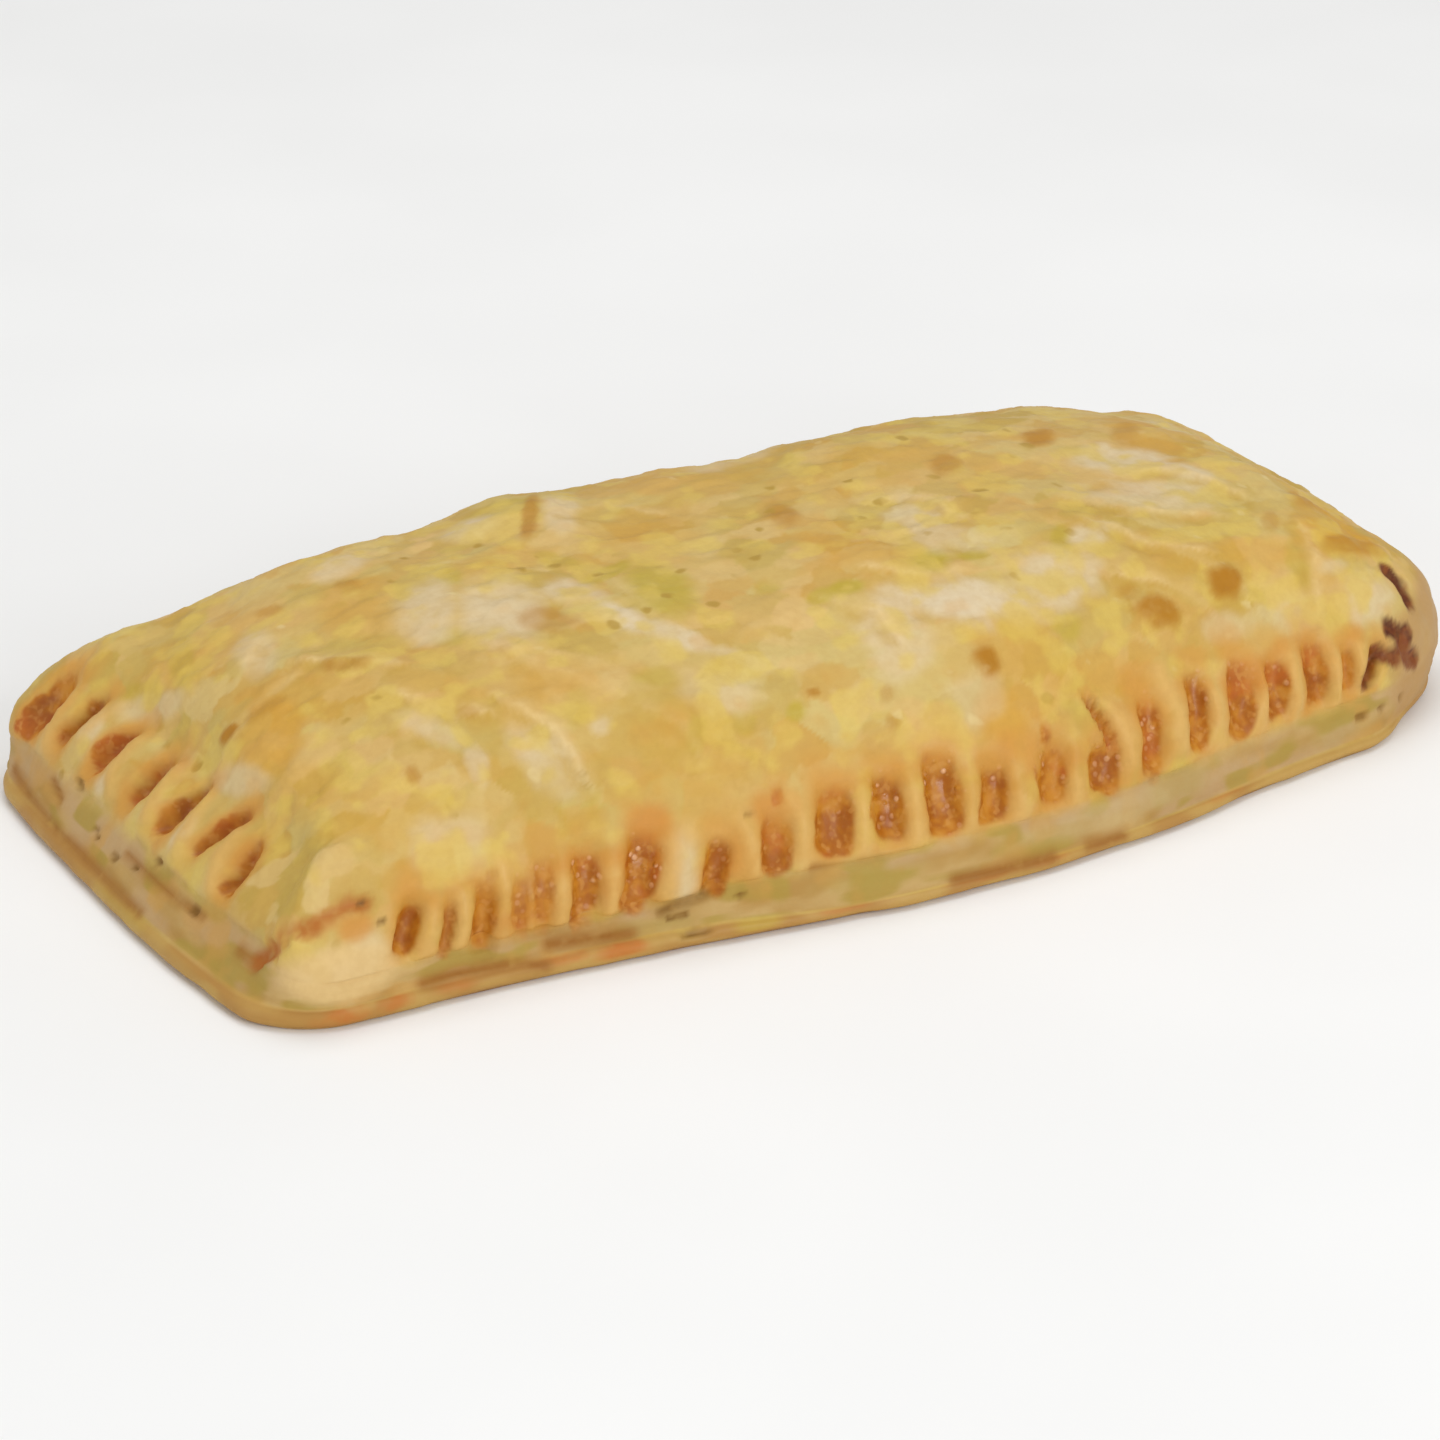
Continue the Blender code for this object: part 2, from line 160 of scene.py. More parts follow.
# edges of the puffed leaves on the lid, each the high side of a low step
LEAF_EDGES = (
    ((-33.2, -8.8), (-31.5, -12.7), (-28.7, -16.4), (-26.0, -18.8)),
    ((-13.1, -17.7), (-11.5, -20.0), (-8.4, -21.9)),
    ((35.3, -4.1), (41.2, -2.8), (45.3, -2.3), (49.0, -6.0), (50.8, -9.8)),
    ((31.4, -6.2), (35.3, -9.7), (40.3, -11.3), (45.9, -13.2)),
    ((31.3, -12.0), (34.7, -16.0), (40.3, -18.6)), ((29.3, -20.4), (33.4, -21.6), (36.6, -24.1)),
    ((-49.8, 1.8), (-46.4, -1.1), (-43.3, -4.6)), ((-57.6, -1.3), (-54.9, -0.5), (-51.6, 0.2)),
    ((53.5, -16.7), (52.9, -20.3), (50.8, -23.6)),
    ((-19.3, 0.0), (-18.3, -4.2), (-18.3, -10.3), (-15.5, -15.0)),
    ((5.5, -11.8), (8.8, -13.9), (12.4, -15.5), (18.8, -16.5)),
    ((-1.5, -14.0), (2.4, -17.0), (2.5, -20.5)), ((-37.2, -15.4), (-35.0, -19.4), (-33.6, -23.6)),
    ((-45.5, -9.0), (-42.4, -13.4), (-39.5, -15.9)), ((-25.3, -21.1), (-22.5, -23.7), (-22.3, -25.3)),
    ((-33.5, 2.2), (-28.6, 1.2), (-25.8, -2.8)), ((13.6, 1.7), (18.3, -0.5), (19.1, -6.7)),
    ((-15.5, 13.7), (-10.3, 14.9), (-6.7, 10.9)), ((-52.8, 6.7), (-50.2, 9.0), (-47.3, 7.2)),
    ((37.5, -18.2), (40.8, -20.6), (42.0, -23.3)))

# blots on the lid: (x, y, half length, half width, turn in degrees, strength)
BROWN_BLOTS = (
    (4.0, 3.0, 3.0, 1.7, 69, 0.6), (24.7, 5.1, 2.2, 1.7, 57, 0.6), (38.0, 8.4, 2.7, 1.7, 35, 0.75),
    (48.7, 7.9, 3.7, 1.5, 51, 0.35), (-18.6, 14.7, 6.3, 0.8, 59, 0.75), (-27.5, -6.1, 3.1, 2.2, -62, 0.5),
    (9.8, -25.9, 1.5, 1.2, 30, 1.0), (31.4, -24.2, 2.5, 1.4, 1, 0.95), (29.2, -22.0, 1.3, 1.0, 4, 0.4),
    (40.6, -22.1, 2.3, 1.5, 27, 1.0), (-58.4, -0.2, 1.2, 0.8, -59, 0.95), (-55.4, -1.4, 2.1, 1.1, -11, 0.4),
    (-46.7, -1.7, 2.5, 1.1, -40, 0.65), (-48.3, -19.0, 1.1, 0.8, 73, 0.65), (-8.4, -24.2, 0.8, 0.4, -9, 0.75),
    (-1.8, -28.0, 0.8, 0.5, -5, 0.5), (-47.7, 13.6, 1.4, 0.9, -43, 0.45), (-40.2, 11.9, 1.6, 1.3, -87, 0.45),
    (-1.4, -26.1, 0.9, 0.7, 18, 0.4), (58.4, -18.9, 4.7, 1.3, 7, 0.6), (59.1, -10.0, 3.5, 1.5, 50, 0.45),
    (51.0, -15.4, 1.8, 0.9, 45, 0.4), (-40.5, -14.8, 1.3, 0.8, -38, 0.35))
PALE_BLOTS = (
    (11.6, -18.7, 9.0, 3.0, -20, 1.0), (3.5, -18.8, 4.8, 2.9, 43, 0.8), (22.0, -18.9, 5.6, 3.8, 6, 0.8),
    (-21.0, -9.2, 4.1, 1.5, -69, 1.0), (-17.3, -14.4, 4.4, 1.5, -54, 0.9), (-13.1, -18.6, 3.2, 0.9, -52, 0.7),
    (-22.9, -2.5, 3.8, 2.5, -83, 0.8), (-30.4, -2.4, 6.7, 4.3, 66, 0.75), (-36.3, 2.0, 6.0, 2.9, 68, 0.7),
    (-38.5, 16.7, 3.6, 2.2, 27, 0.6), (-24.4, 16.1, 3.4, 2.8, -29, 0.8), (-14.9, 14.8, 5.2, 1.8, 61, 0.6),
    (43.7, 0.9, 5.3, 3.9, -19, 0.85), (47.4, -2.8, 5.2, 1.9, -51, 0.85), (41.4, -7.9, 7.7, 3.5, -10, 0.65),
    (29.9, -13.8, 3.0, 1.9, 26, 0.8), (15.5, -5.0, 6.4, 3.1, 78, 0.6), (17.0, -10.1, 3.4, 2.2, -54, 0.5),
    (-35.9, -22.0, 3.8, 2.2, -52, 0.65), (-29.7, -21.3, 1.2, 1.0, 18, 0.6), (-42.4, -20.4, 2.3, 1.1, 78, 0.6),
    (-47.4, -25.2, 3.9, 1.9, -2, 0.5), (-51.5, 8.4, 4.4, 2.0, 75, 0.6), (-60.9, 13.2, 4.9, 1.3, -63, 0.5),
    (-59.8, -5.8, 4.0, 0.9, -77, 0.5), (-44.3, -15.0, 3.6, 1.5, -57, 0.5), (57.3, -24.0, 4.2, 2.2, 16, 0.65),
    (54.6, -21.5, 2.0, 0.8, 2, 0.5), (47.1, -25.1, 3.7, 1.7, 3, 0.4), (38.8, -25.5, 3.2, 1.1, 3, 0.4),
    (2.5, -22.4, 4.3, 2.8, 40, 0.55), (7.0, -28.1, 3.2, 1.8, 0, 0.35), (-17.0, -21.5, 3.8, 2.5, -23, 0.45),
    (10.9, -21.8, 2.1, 1.3, -39, 0.65), (60.0, 16.0, 5.0, 2.5, 80, 0.5), (8.0, 20.0, 6.0, 2.5, 10, 0.45))
GOLD_BLOTS = (
    (-56.2, -5.0, 5.6, 3.4, 70, 0.8), (-49.8, -5.0, 6.1, 4.3, -58, 0.5), (-41.8, -10.0, 6.3, 2.7, -62, 0.45),
    (-51.0, -22.1, 7.3, 3.9, -16, 0.45), (-11.9, 3.5, 7.3, 5.9, 55, 0.4), (5.5, -5.9, 8.0, 3.8, -86, 0.55),
    (17.4, 7.9, 11.3, 5.4, 13, 0.4), (-25.5, 7.3, 5.2, 3.1, 0, 0.55), (-56.3, 13.4, 6.2, 3.7, -53, 0.35),
    (-57.2, -13.8, 5.9, 3.0, -70, 0.4), (-21.0, -24.9, 5.9, 3.7, -5, 0.35), (38.0, -18.3, 6.0, 2.9, -25, 0.35),
    (14.6, -25.1, 6.4, 3.8, 46, 0.3), (-30.9, -15.5, 5.7, 3.7, -53, 0.35), (46.0, -19.3, 5.0, 2.5, 7, 0.45),
    (-41.2, 8.7, 5.9, 3.8, 77, 0.4), (9.8, -30.2, 2.8, 2.2, -3, 0.9), (21.6, -28.2, 6.0, 1.6, 2, 0.5),
    (52.0, 5.0, 5.0, 8.0, 0, 0.35), (58.2, -17.6, 6.0, 2.6, 10, 1.0), (61.0, -11.0, 3.0, 5.5, 0, 0.7), (0.0, 28.0, 40.0, 2.5, 0, 0.35))
OLIVE_BLOTS = (
    (-14.8, -5.8, 6.7, 3.1, 75, 0.8), (-17.7, 0.0, 3.7, 1.3, 22, 0.85), (1.8, -13.2, 2.6, 1.3, -1, 0.95),
    (-1.0, -13.4, 1.7, 1.0, 20, 0.85), (11.5, -12.6, 2.4, 2.1, 24, 1.0), (16.2, -13.3, 1.7, 1.1, -8, 0.75),
    (26.4, -13.9, 3.1, 1.0, 55, 0.65), (-20.3, 4.5, 3.0, 1.2, -65, 0.5), (-31.6, 6.5, 1.8, 1.2, 71, 0.55),
    (-36.7, -3.8, 2.2, 1.5, -54, 0.55), (-34.6, -26.3, 2.4, 1.8, 11, 0.6), (-22.5, -17.9, 2.4, 1.4, -27, 0.4),
    (-11.0, -25.2, 1.1, 0.8, 19, 0.8), (-5.2, -9.7, 1.4, 1.3, 11, 0.45), (-60.7, 15.8, 3.5, 0.9, -67, 0.45),
    (-57.1, 14.0, 4.1, 1.5, 73, 0.5), (-20.1, 17.9, 4.0, 2.5, -30, 0.65), (42.8, -9.6, 7.8, 2.4, -11, 0.3),
    (50.6, -20.8, 2.7, 1.1, 67, 0.5), (20.1, -24.6, 2.1, 1.3, 41, 0.55), (-16.6, -24.7, 1.6, 0.8, -7, 0.45),
    (-21.4, -24.5, 1.5, 0.9, 49, 0.45), (-43.0, 0.4, 4.1, 1.7, -49, 0.35), (-30.9, -18.6, 2.2, 1.3, 58, 0.35))
# blots on the walls: (x, y, z, reach along, reach up, strength)
TAN_WALL = (
    (-44.0, -28.6, 7.5, 2.2, 1.8, 0.7), (-41.0, -28.4, 7.0, 5.0, 3.6, 0.75), (-28.5, -28.3, 11.6, 2.2, 1.6, 0.9),
    (-31.0, -28.8, 9.0, 3.5, 2.0, 0.8), (-36.5, -28.4, 9.0, 2.8, 2.0, 0.7), (-47.5, -28.0, 8.5, 5.0, 2.0, 0.5),
    (-33.3, -30.0, 6.5, 1.4, 3.6, 0.75), (-46.5, -29.0, 5.0, 6.0, 3.0, 0.4), (-24.0, -30.5, 6.0, 1.0, 2.6, 0.6),
    (-20.5, -30.8, 7.5, 2.4, 2.8, 0.6), (-16.0, -29.6, 11.0, 3.0, 1.6, 0.7), (14.5, -31.5, 10.0, 4.0, 1.4, 0.7), (9.8, -31.0, 12.0, 3.0, 1.6, 0.4),
    (40.0, -28.7, 10.8, 4.5, 1.6, 0.95), (45.0, -27.4, 12.3, 3.0, 1.0, 0.5), (52.5, -27.1, 11.3, 2.4, 1.2, 0.8),
    (-58.6, -27.8, 8.6, 1.9, 1.3, 0.75), (22.0, -31.0, 11.5, 3.5, 1.4, 0.45), (-3.0, -31.0, 11.8, 5.0, 1.0, 0.4),
    (31.5, -29.5, 11.6, 2.5, 1.4, 0.5), (-62.5, 3.0, 11.8, 3.0, 1.5, 0.5), (-63.5, -12.0, 10.5, 5.0, 1.8, 0.4))
PALE_WALL = (
    (-26.3, -30.6, 7.3, 2.2, 3.6, 0.65), (-61.0, -28.4, 4.4, 4.4, 2.0, 1.0), (-57.5, -28.6, 5.6, 2.4, 2.6, 0.8),
    (18.0, -34.5, 3.6, 8.0, 1.6, 0.7), (-66.5, 12.0, 7.4, 1.4, 1.2, 0.7), (-66.0, 4.5, 8.0, 1.4, 1.4, 0.8),
    (-65.0, -3.9, 8.8, 1.2, 1.4, 0.7), (-64.2, 18.2, 10.6, 1.4, 1.4, 0.8))
OLIVE_WALL = (
    (28.0, -33.0, 4.2, 4.0, 2.0, 0.6), (-30.0, -31.0, 2.6, 4.5, 0.9, 0.6), (-8.0, -34.0, 3.6, 6.0, 1.2, 0.5),
    (-20.0, -33.4, 1.4, 2.5, 0.7, 0.9), (25.0, -34.0, 3.4, 0.8, 1.2, 0.7), (-66.0, 4.2, 7.6, 0.8, 1.0, 0.7),
    (-43.0, -29.7, 3.0, 1.0, 1.0, 0.5), (-70.5, -2.0, 1.4, 6.0, 1.0, 0.5), (50.0, -30.5, 3.0, 5.0, 1.4, 0.4),
    (12.0, -34.6, 3.0, 5.0, 1.2, 0.35))
ORANGE_SHEET = (
    (-39.1, -30.5, 1.7, 3.0, 0.6, 0.7), (-33.5, -31.8, 1.4, 3.0, 0.7, 1.0), (-60.4, -30.1, 1.3, 2.4, 0.9, 0.9),
    (-56.3, -29.9, 1.6, 2.0, 0.9, 0.8), (-62.3, -29.8, 0.7, 2.0, 0.8, 0.6), (-50.0, -29.6, 1.7, 2.5, 0.8, 0.6),
    (4.0, -36.0, 1.5, 4.5, 0.5, 0.7), (11.5, -36.4, 1.4, 2.5, 0.5, 0.6), (-11.5, -34.6, 1.4, 3.0, 0.5, 0.5),
    (33.0, -33.6, 1.6, 4.0, 0.6, 0.5), (-45.0, -29.6, 3.0, 1.4, 0.8, 0.6))

# lines drawn in or on the skin: browned crease, burns, cracks, sheet lines
FRONT_LEFT_CREASE = ((-66.3, -22.4, 4.9), (-65.1, -23.9, 6.0), (-63.5, -26.2, 8.7), (-61.4, -27.1, 10.0),
                     (-59.6, -27.2, 10.2), (-57.3, -27.0, 10.6))
BURNS = (
    ((61.8, -21.5, 14.4), (62.7, -22.4, 13.4), (63.1, -23.4, 12.4), (62.8, -24.0, 11.8)),
    ((58.8, -26.5, 10.9), (60.5, -26.5, 9.8), (59.8, -27.1, 9.0), (60.2, -27.3, 7.9), (61.6, -26.9, 7.1)),
    ((58.3, -28.0, 8.0), (56.6, -28.0, 9.0), (55.4, -28.5, 8.4), (54.1, -28.9, 7.0)))
CRACKS = (
    ((-28.8, -31.0, 3.7), (-27.2, -31.1, 4.2), (-25.2, -31.4, 4.5), (-24.2, -31.5, 4.6)),
    ((-27.0, -32.6, 1.7), (-25.0, -32.9, 1.8)))
SHEET_LINES = (
    ((-69.8, 27.9, 2.8), (-70.1, 24.5, 2.2), (-70.3, 20.0, 2.0), (-70.5, 14.3, 1.9), (-70.4, 10.7, 2.0),
     (-70.3, 5.9, 2.0)),
    ((-70.3, 5.9, 2.0), (-70.3, 0.9, 1.9), (-70.1, -4.5, 2.0)),
    ((-52.9, -29.3, 2.0), (-49.9, -29.4, 2.2), (-44.9, -29.8, 1.9), (-41.0, -31.1, 1.5)),
    ((-40.0, -29.9, 2.9), (-35.8, -30.3, 2.6), (-32.0, -30.7, 2.2)),
    ((0.5, -35.9, 1.7), (4.6, -36.2, 1.6), (11.5, -36.4, 1.5)),
    ((16.0, -36.2, 1.5), (20.0, -35.9, 1.4)), ((-66.5, -20.0, 4.6), (-66.3, -22.8, 4.2)))
STREAKS = (
    ((-68.4, 2.6, 4.7), (-68.2, -5.3, 4.8), (-67.5, -13.0, 5.1)), ((-69.2, 17.2, 4.1), (-69.0, 20.1, 5.0)),
    ((-13.7, -33.1, 5.6), (-9.4, -33.2, 5.2)), ((-9.0, -33.4, 5.3), (-5.8, -33.6, 5.2)))
PITS = (
    (-68.7, 9.3, 4.4, 0.5), (-68.9, 8.4, 3.9, 0.5), (-68.9, 3.9, 3.9, 0.7), (-67.2, -2.7, 6.1, 0.6),
    (-68.5, 0.2, 4.4, 0.6), (-67.0, 15.5, 6.3, 0.7), (-67.7, -11.2, 4.9, 0.6), (55.8, -29.0, 3.7, 0.6),
    (53.1, -29.4, 3.7, 0.7), (59.1, -28.2, 3.7, 0.45), (-57.2, -27.1, 10.4, 0.5), (-56.0, -27.9, 8.7, 0.5),
    (-18.9, -30.1, 11.1, 0.5), (-24.4, -31.5, 4.5, 0.5), (-26.8, -31.4, 3.1, 0.6), (-28.0, -31.2, 3.0, 0.4),
    (-21.0, -31.8, 4.1, 0.4))


# ------------------------------------------------------------ small maths --
def smooth(t):
    t = np.clip(t, 0.0, 1.0)
    return t * t * (3.0 - 2.0 * t)


def ramp(t, low, high):
    return smooth((np.asarray(t, float) - low) / (high - low))


def smooth_table(table, x):
    x = np.asarray(x, float)
    out = np.full(x.shape, table[0][1])
    for (x0, z0), (x1, z1) in zip(table, table[1:]):
        part = z0 + (z1 - z0) * smooth((x - x0) / (x1 - x0))
        out = np.where(x > x0, part, out)
    return out


def lattice(ix, iy, iz, seed):
    h = (ix.astype(np.int64) * 374761393 + iy.astype(np.int64) * 668265263
         + iz.astype(np.int64) * 1440662683 + seed * 1274126177) & 0xFFFFFFFF
    h = ((h ^ (h >> 13)) * 1103515245) & 0xFFFFFFFF
    h = ((h ^ (h >> 15)) * 974634611) & 0xFFFFFFFF
    return (h ^ (h >> 16)) / 4294967295.0 * 2.0 - 1.0


def noise(p, size, seed, stretch=(1.0, 1.0, 1.0)):
    """Smooth value noise in -1..1 over points p, lumps about size across."""
    q = p / (np.asarray(stretch) * size) + 31.7
    base = np.floor(q)
    f = q - base
    f = f * f * f * (f * (f * 6.0 - 15.0) + 10.0)
    i = base.astype(np.int64)
    out = 0.0
    for dx in (0, 1):
        wx = f[:, 0] if dx else 1.0 - f[:, 0]
        for dy in (0, 1):
            wy = f[:, 1] if dy else 1.0 - f[:, 1]
            for dz in (0, 1):
                wz = f[:, 2] if dz else 1.0 - f[:, 2]
                out = out + wx * wy * wz * lattice(
                    i[:, 0] + dx, i[:, 1] + dy, i[:, 2] + dz, seed)
    return out


def layered(p, size, seed, octaves=3, stretch=(1.0, 1.0, 1.0)):
    out, gain, total = 0.0, 1.0, 0.0
    for k in range(octaves):
        out = out + gain * noise(p, size / 2 ** k, seed + 11 * k, stretch)
        total += gain
        gain *= 0.5
    return out / total


def field(p, size, seed, octaves=3, stretch=(1.0, 1.0, 1.0)):
    """Layered noise about 0.5, for the colour spans of the material."""
    return 0.5 + 0.35 * layered(p, size, seed, octaves, stretch)


def flakes(p, size, seed, stretch, warp_size, warp):
    """Two random values that stay even over each ragged flake."""
    push = np.stack([layered(p, warp_size, seed + k, 3) for k in (1, 2, 3)], 1)
    q = (p + warp * push) / (np.asarray(stretch) * size) + 57.3
    base = np.floor(q).astype(np.int64)
    first, second, total = (np.zeros(len(p)) for _ in range(3))
    for dx in (-1, 0, 1):
        for dy in (-1, 0, 1):
            for dz in (-1, 0, 1):
                ix, iy, iz = base[:, 0] + dx, base[:, 1] + dy, base[:, 2] + dz
                away = 0.0
                for k, cell in enumerate((ix, iy, iz)):
                    away = away + (q[:, k] - cell - 0.5 - 0.42 * lattice(ix, iy, iz, seed + 5 + k)) ** 2
                weight = np.exp(-26.0 * away)
                first += weight * lattice(ix, iy, iz, seed + 8)
                second += weight * lattice(ix, iy, iz, seed + 9)
                total += weight
    return 0.5 + 0.5 * first / total, 0.5 + 0.5 * second / total


def blots(x, y, table, wobble):
    """Soft-edged blots; wobble is a noise that roughens their outline."""
    out = np.zeros_like(x)
    for cx, cy, a, b, turn, strength in table:
        c, s = math.cos(math.radians(turn)), math.sin(math.radians(turn))
        u = ((x - cx) * c + (y - cy) * s) / a
        v = (-(x - cx) * s + (y - cy) * c) / b
        r = np.sqrt(u * u + v * v) + 0.4 * wobble
        out = np.maximum(out, strength * (1.0 - smooth((r - 0.55) / 0.8)))
    return out


def wall_blots(points, table, wobble):
    out = np.zeros(len(points))
    for cx, cy, cz, along, up, strength in table:
        end = abs(cx) > 61.0 and abs(cy) < 28.0
        t = points[:, 1] - cy if end else points[:, 0] - cx
        off = points[:, 0] - cx if end else points[:, 1] - cy
        r = np.sqrt((t / along) ** 2 + ((points[:, 2] - cz) / up) ** 2
                    + (off / 6.0) ** 2) + 0.35 * wobble
        out = np.maximum(out, strength * (1.0 - smooth((r - 0.5) / 0.8)))
    return out


def line_distance(points, line):
    """Distance to a polyline, and which side of it in plan (+ is left)."""
    line = [np.array(p, float) for p in line]
    q = points[:, :len(line[0])]
    best = np.full(len(points), 1e9)
    side = np.zeros(len(points))
    for a, b in zip(line, line[1:]):
        d = b - a
        t = np.clip(((q - a) @ d) / (d @ d), 0.0, 1.0)
        away = q - a - t[:, None] * d
        dist = np.sqrt((away ** 2).sum(1))
        closer = dist < best
        best = np.where(closer, dist, best)
        turn = d[0] * away[:, 1] - d[1] * away[:, 0]
        side = np.where(closer, np.sign(turn), side)
    return best, side


def lines(points, table, width):
    out = np.zeros(len(points))
    for line in table:
        dist, _ = line_distance(points, line)
        out = np.maximum(out, np.exp(-(dist / width) ** 2))
    return out


# ------------------------------------------------------------- pie's edge --
def side_sizes(side):
    along, across = ((HALF_L, HALF_W), (HALF_W, HALF_L))[side % 2]
    r0, r1 = CORNERS[side], CORNERS[(side + 1) % 4]
    return (along, across, r0, r1, math.pi * r0 / 4,
            2 * along - r0 - r1, math.pi * r1 / 4)


def side_point(side, s):
    along, across, r0, r1, arc0, straight, arc1 = side_sizes(side)
    if s < arc0:
        a = math.pi / 4 - s / r0
        t, o = -along + r0 - r0 * math.sin(a), across - r0 + r0 * math.cos(a)
        nt, no = -math.sin(a), math.cos(a)
    elif s < arc0 + straight:
        t, o, nt, no = -along + r0 + (s - arc0), across, 0.0, 1.0
    else:
        a = (s - arc0 - straight) / r1
        t, o = along - r1 + r1 * math.sin(a), across - r1 + r1 * math.cos(a)
        nt, no = math.sin(a), math.cos(a)
    return (((t, -o), (nt, -no)), ((o, t), (no, nt)),
            ((-t, o), (-nt, no)), ((-o, -t), (-no, -nt)))[side]


def rows_at(nx, ny, px, py):
    left, right = max(0.0, -nx) ** 3, max(0.0, nx) ** 2
    left *= 1.0 - LEFT_STEEPEN * float(smooth((py - 4.0) / 26.0))
    side = 1.0 - left - right
    rows = [(a[0] * side + b[0] * left + c[0] * right,
             a[1] * side + b[1] * left + c[1] * right)
            for a, b, c in zip(SIDE_ROWS, LEFT_ROWS, RIGHT_ROWS)]
    if nx < 0.0 and ny > 0.0:
        corner = 4.0 * nx * nx * ny * ny
        rows = [(d * (1.0 - corner * puff), z * (1.0 - CORNER_SINK * corner))
                for (d, z), puff in zip(rows, CORNER_PUFF)]
    if nx > 0.0 and ny < 0.0:
        # the foot of this corner is well rounded off
        foot = 9.5 * nx * nx * ny ** 6
        rows = [(d + foot * (1.6, 1.6, 1.4, 1.1, 0.8, 0.4, 0.15, 0, 0, 0, 0, 0)[k], z)
                for k, (d, z) in enumerate(rows)]
    if ny < 0.0:
        # the side sits lower and thicker on its sheet towards the left
        low = ny * ny * (1.0 - float(smooth((px + 36.0) / 18.0)))
        thin = ny * ny * float(smooth((px + 26.0) / 16.0))
        rows = [(d - thin * (0, 0, 0, 0.45, 0.5, 0.4, 0.3, 0.1, 0, 0, 0, 0)[k],
                 z - low * (0, 0, 0, 0.1, 0.5, 0.9, 1.1, 1.2, 1.1, 0.8, 0.4, 0.1)[k]
                 - thin * (0, 0.1, 0.4, 0.5, 0.2, 0, 0, 0, 0, 0, 0, 0)[k])
                for k, (d, z) in enumerate(rows)]
    if ny < 0.0:
        # no ledge below the flap
        fill = ny * ny * (1.0 - float(smooth((px + 60.0) / 7.0)))
        rows = [(d - fill * (0, 0, 0, 0.45, 0.75, 0.9, 0.8, 0.5, 0.2, 0, 0, 0)[k], z)
                for k, (d, z) in enumerate(rows)]
    if nx < 0.0 and ny < 0.0:
        # smooth folded flap at the front left corner
        flap = 4.0 * nx * nx * ny * ny
        rows = [(d - flap * (0, 0, 0, 0.1, 0.4, 0.7, 0.9, 0.9, 0.8, 0.4, 0.1, 0)[k], z)
                for k, (d, z) in enumerate(rows)]
    return rows


def plan_warp(x, y):
    frontness = np.clip((HALF_W - y) / WIDTH, 0.0, 1.0)
    reach = np.where(x < BULGE_X, BULGE_LEFT, BULGE_RIGHT)
    tuck = FRONT_TUCK * (1.0 - np.exp(-((x - BULGE_X) / reach) ** 2))
    leftness = np.clip(-x / HALF_L, 0.0, 1.0) ** 2
    lean = LEFT_LEAN * leftness * frontness ** 2
    swell = LEFT_SWELL * leftness * (1.0 - (2.0 * frontness - 1.0) ** 2)
    return x + lean - swell, y + tuck * frontness


def spline_weights(steps):
    """Catmull-Rom weights that carry the profile rows to the fine rows."""
    n = len(steps) + 1
    rows, place = [], []
    for k, count in enumerate(steps):
        for i in range(count + (k == len(steps) - 1)):
            t = i / count
            w = np.zeros(n)
            for index, value in (
                    (k - 1, (-t + 2 * t * t - t ** 3) / 2),
                    (k, (2 - 5 * t * t + 3 * t ** 3) / 2),
                    (k + 1, (t + 4 * t * t - 3 * t ** 3) / 2),
                    (k + 2, (-t * t + t ** 3) / 2)):
                w[min(max(index, 0), n - 1)] += value
            rows.append(w)
            place.append(k + t)
    return np.array(rows), np.array(place)


def relax(points, quads, weight, rounds):
    """Rounds a crease off: each point drifts to the mean of its neighbours."""
    a = np.concatenate([quads[:, k] for k in range(4)])
    b = np.concatenate([quads[:, (k + 1) % 4] for k in range(4)])
    a, b = np.concatenate([a, b]), np.concatenate([b, a])
    count = np.maximum(np.bincount(a, minlength=len(points)), 1)
    for _ in range(rounds):
        mean = np.stack([np.bincount(a, points[b, k], len(points)) for k in range(3)], 1) / count[:, None]
        points = points + (0.9 * weight)[:, None] * (mean - points)
    return points


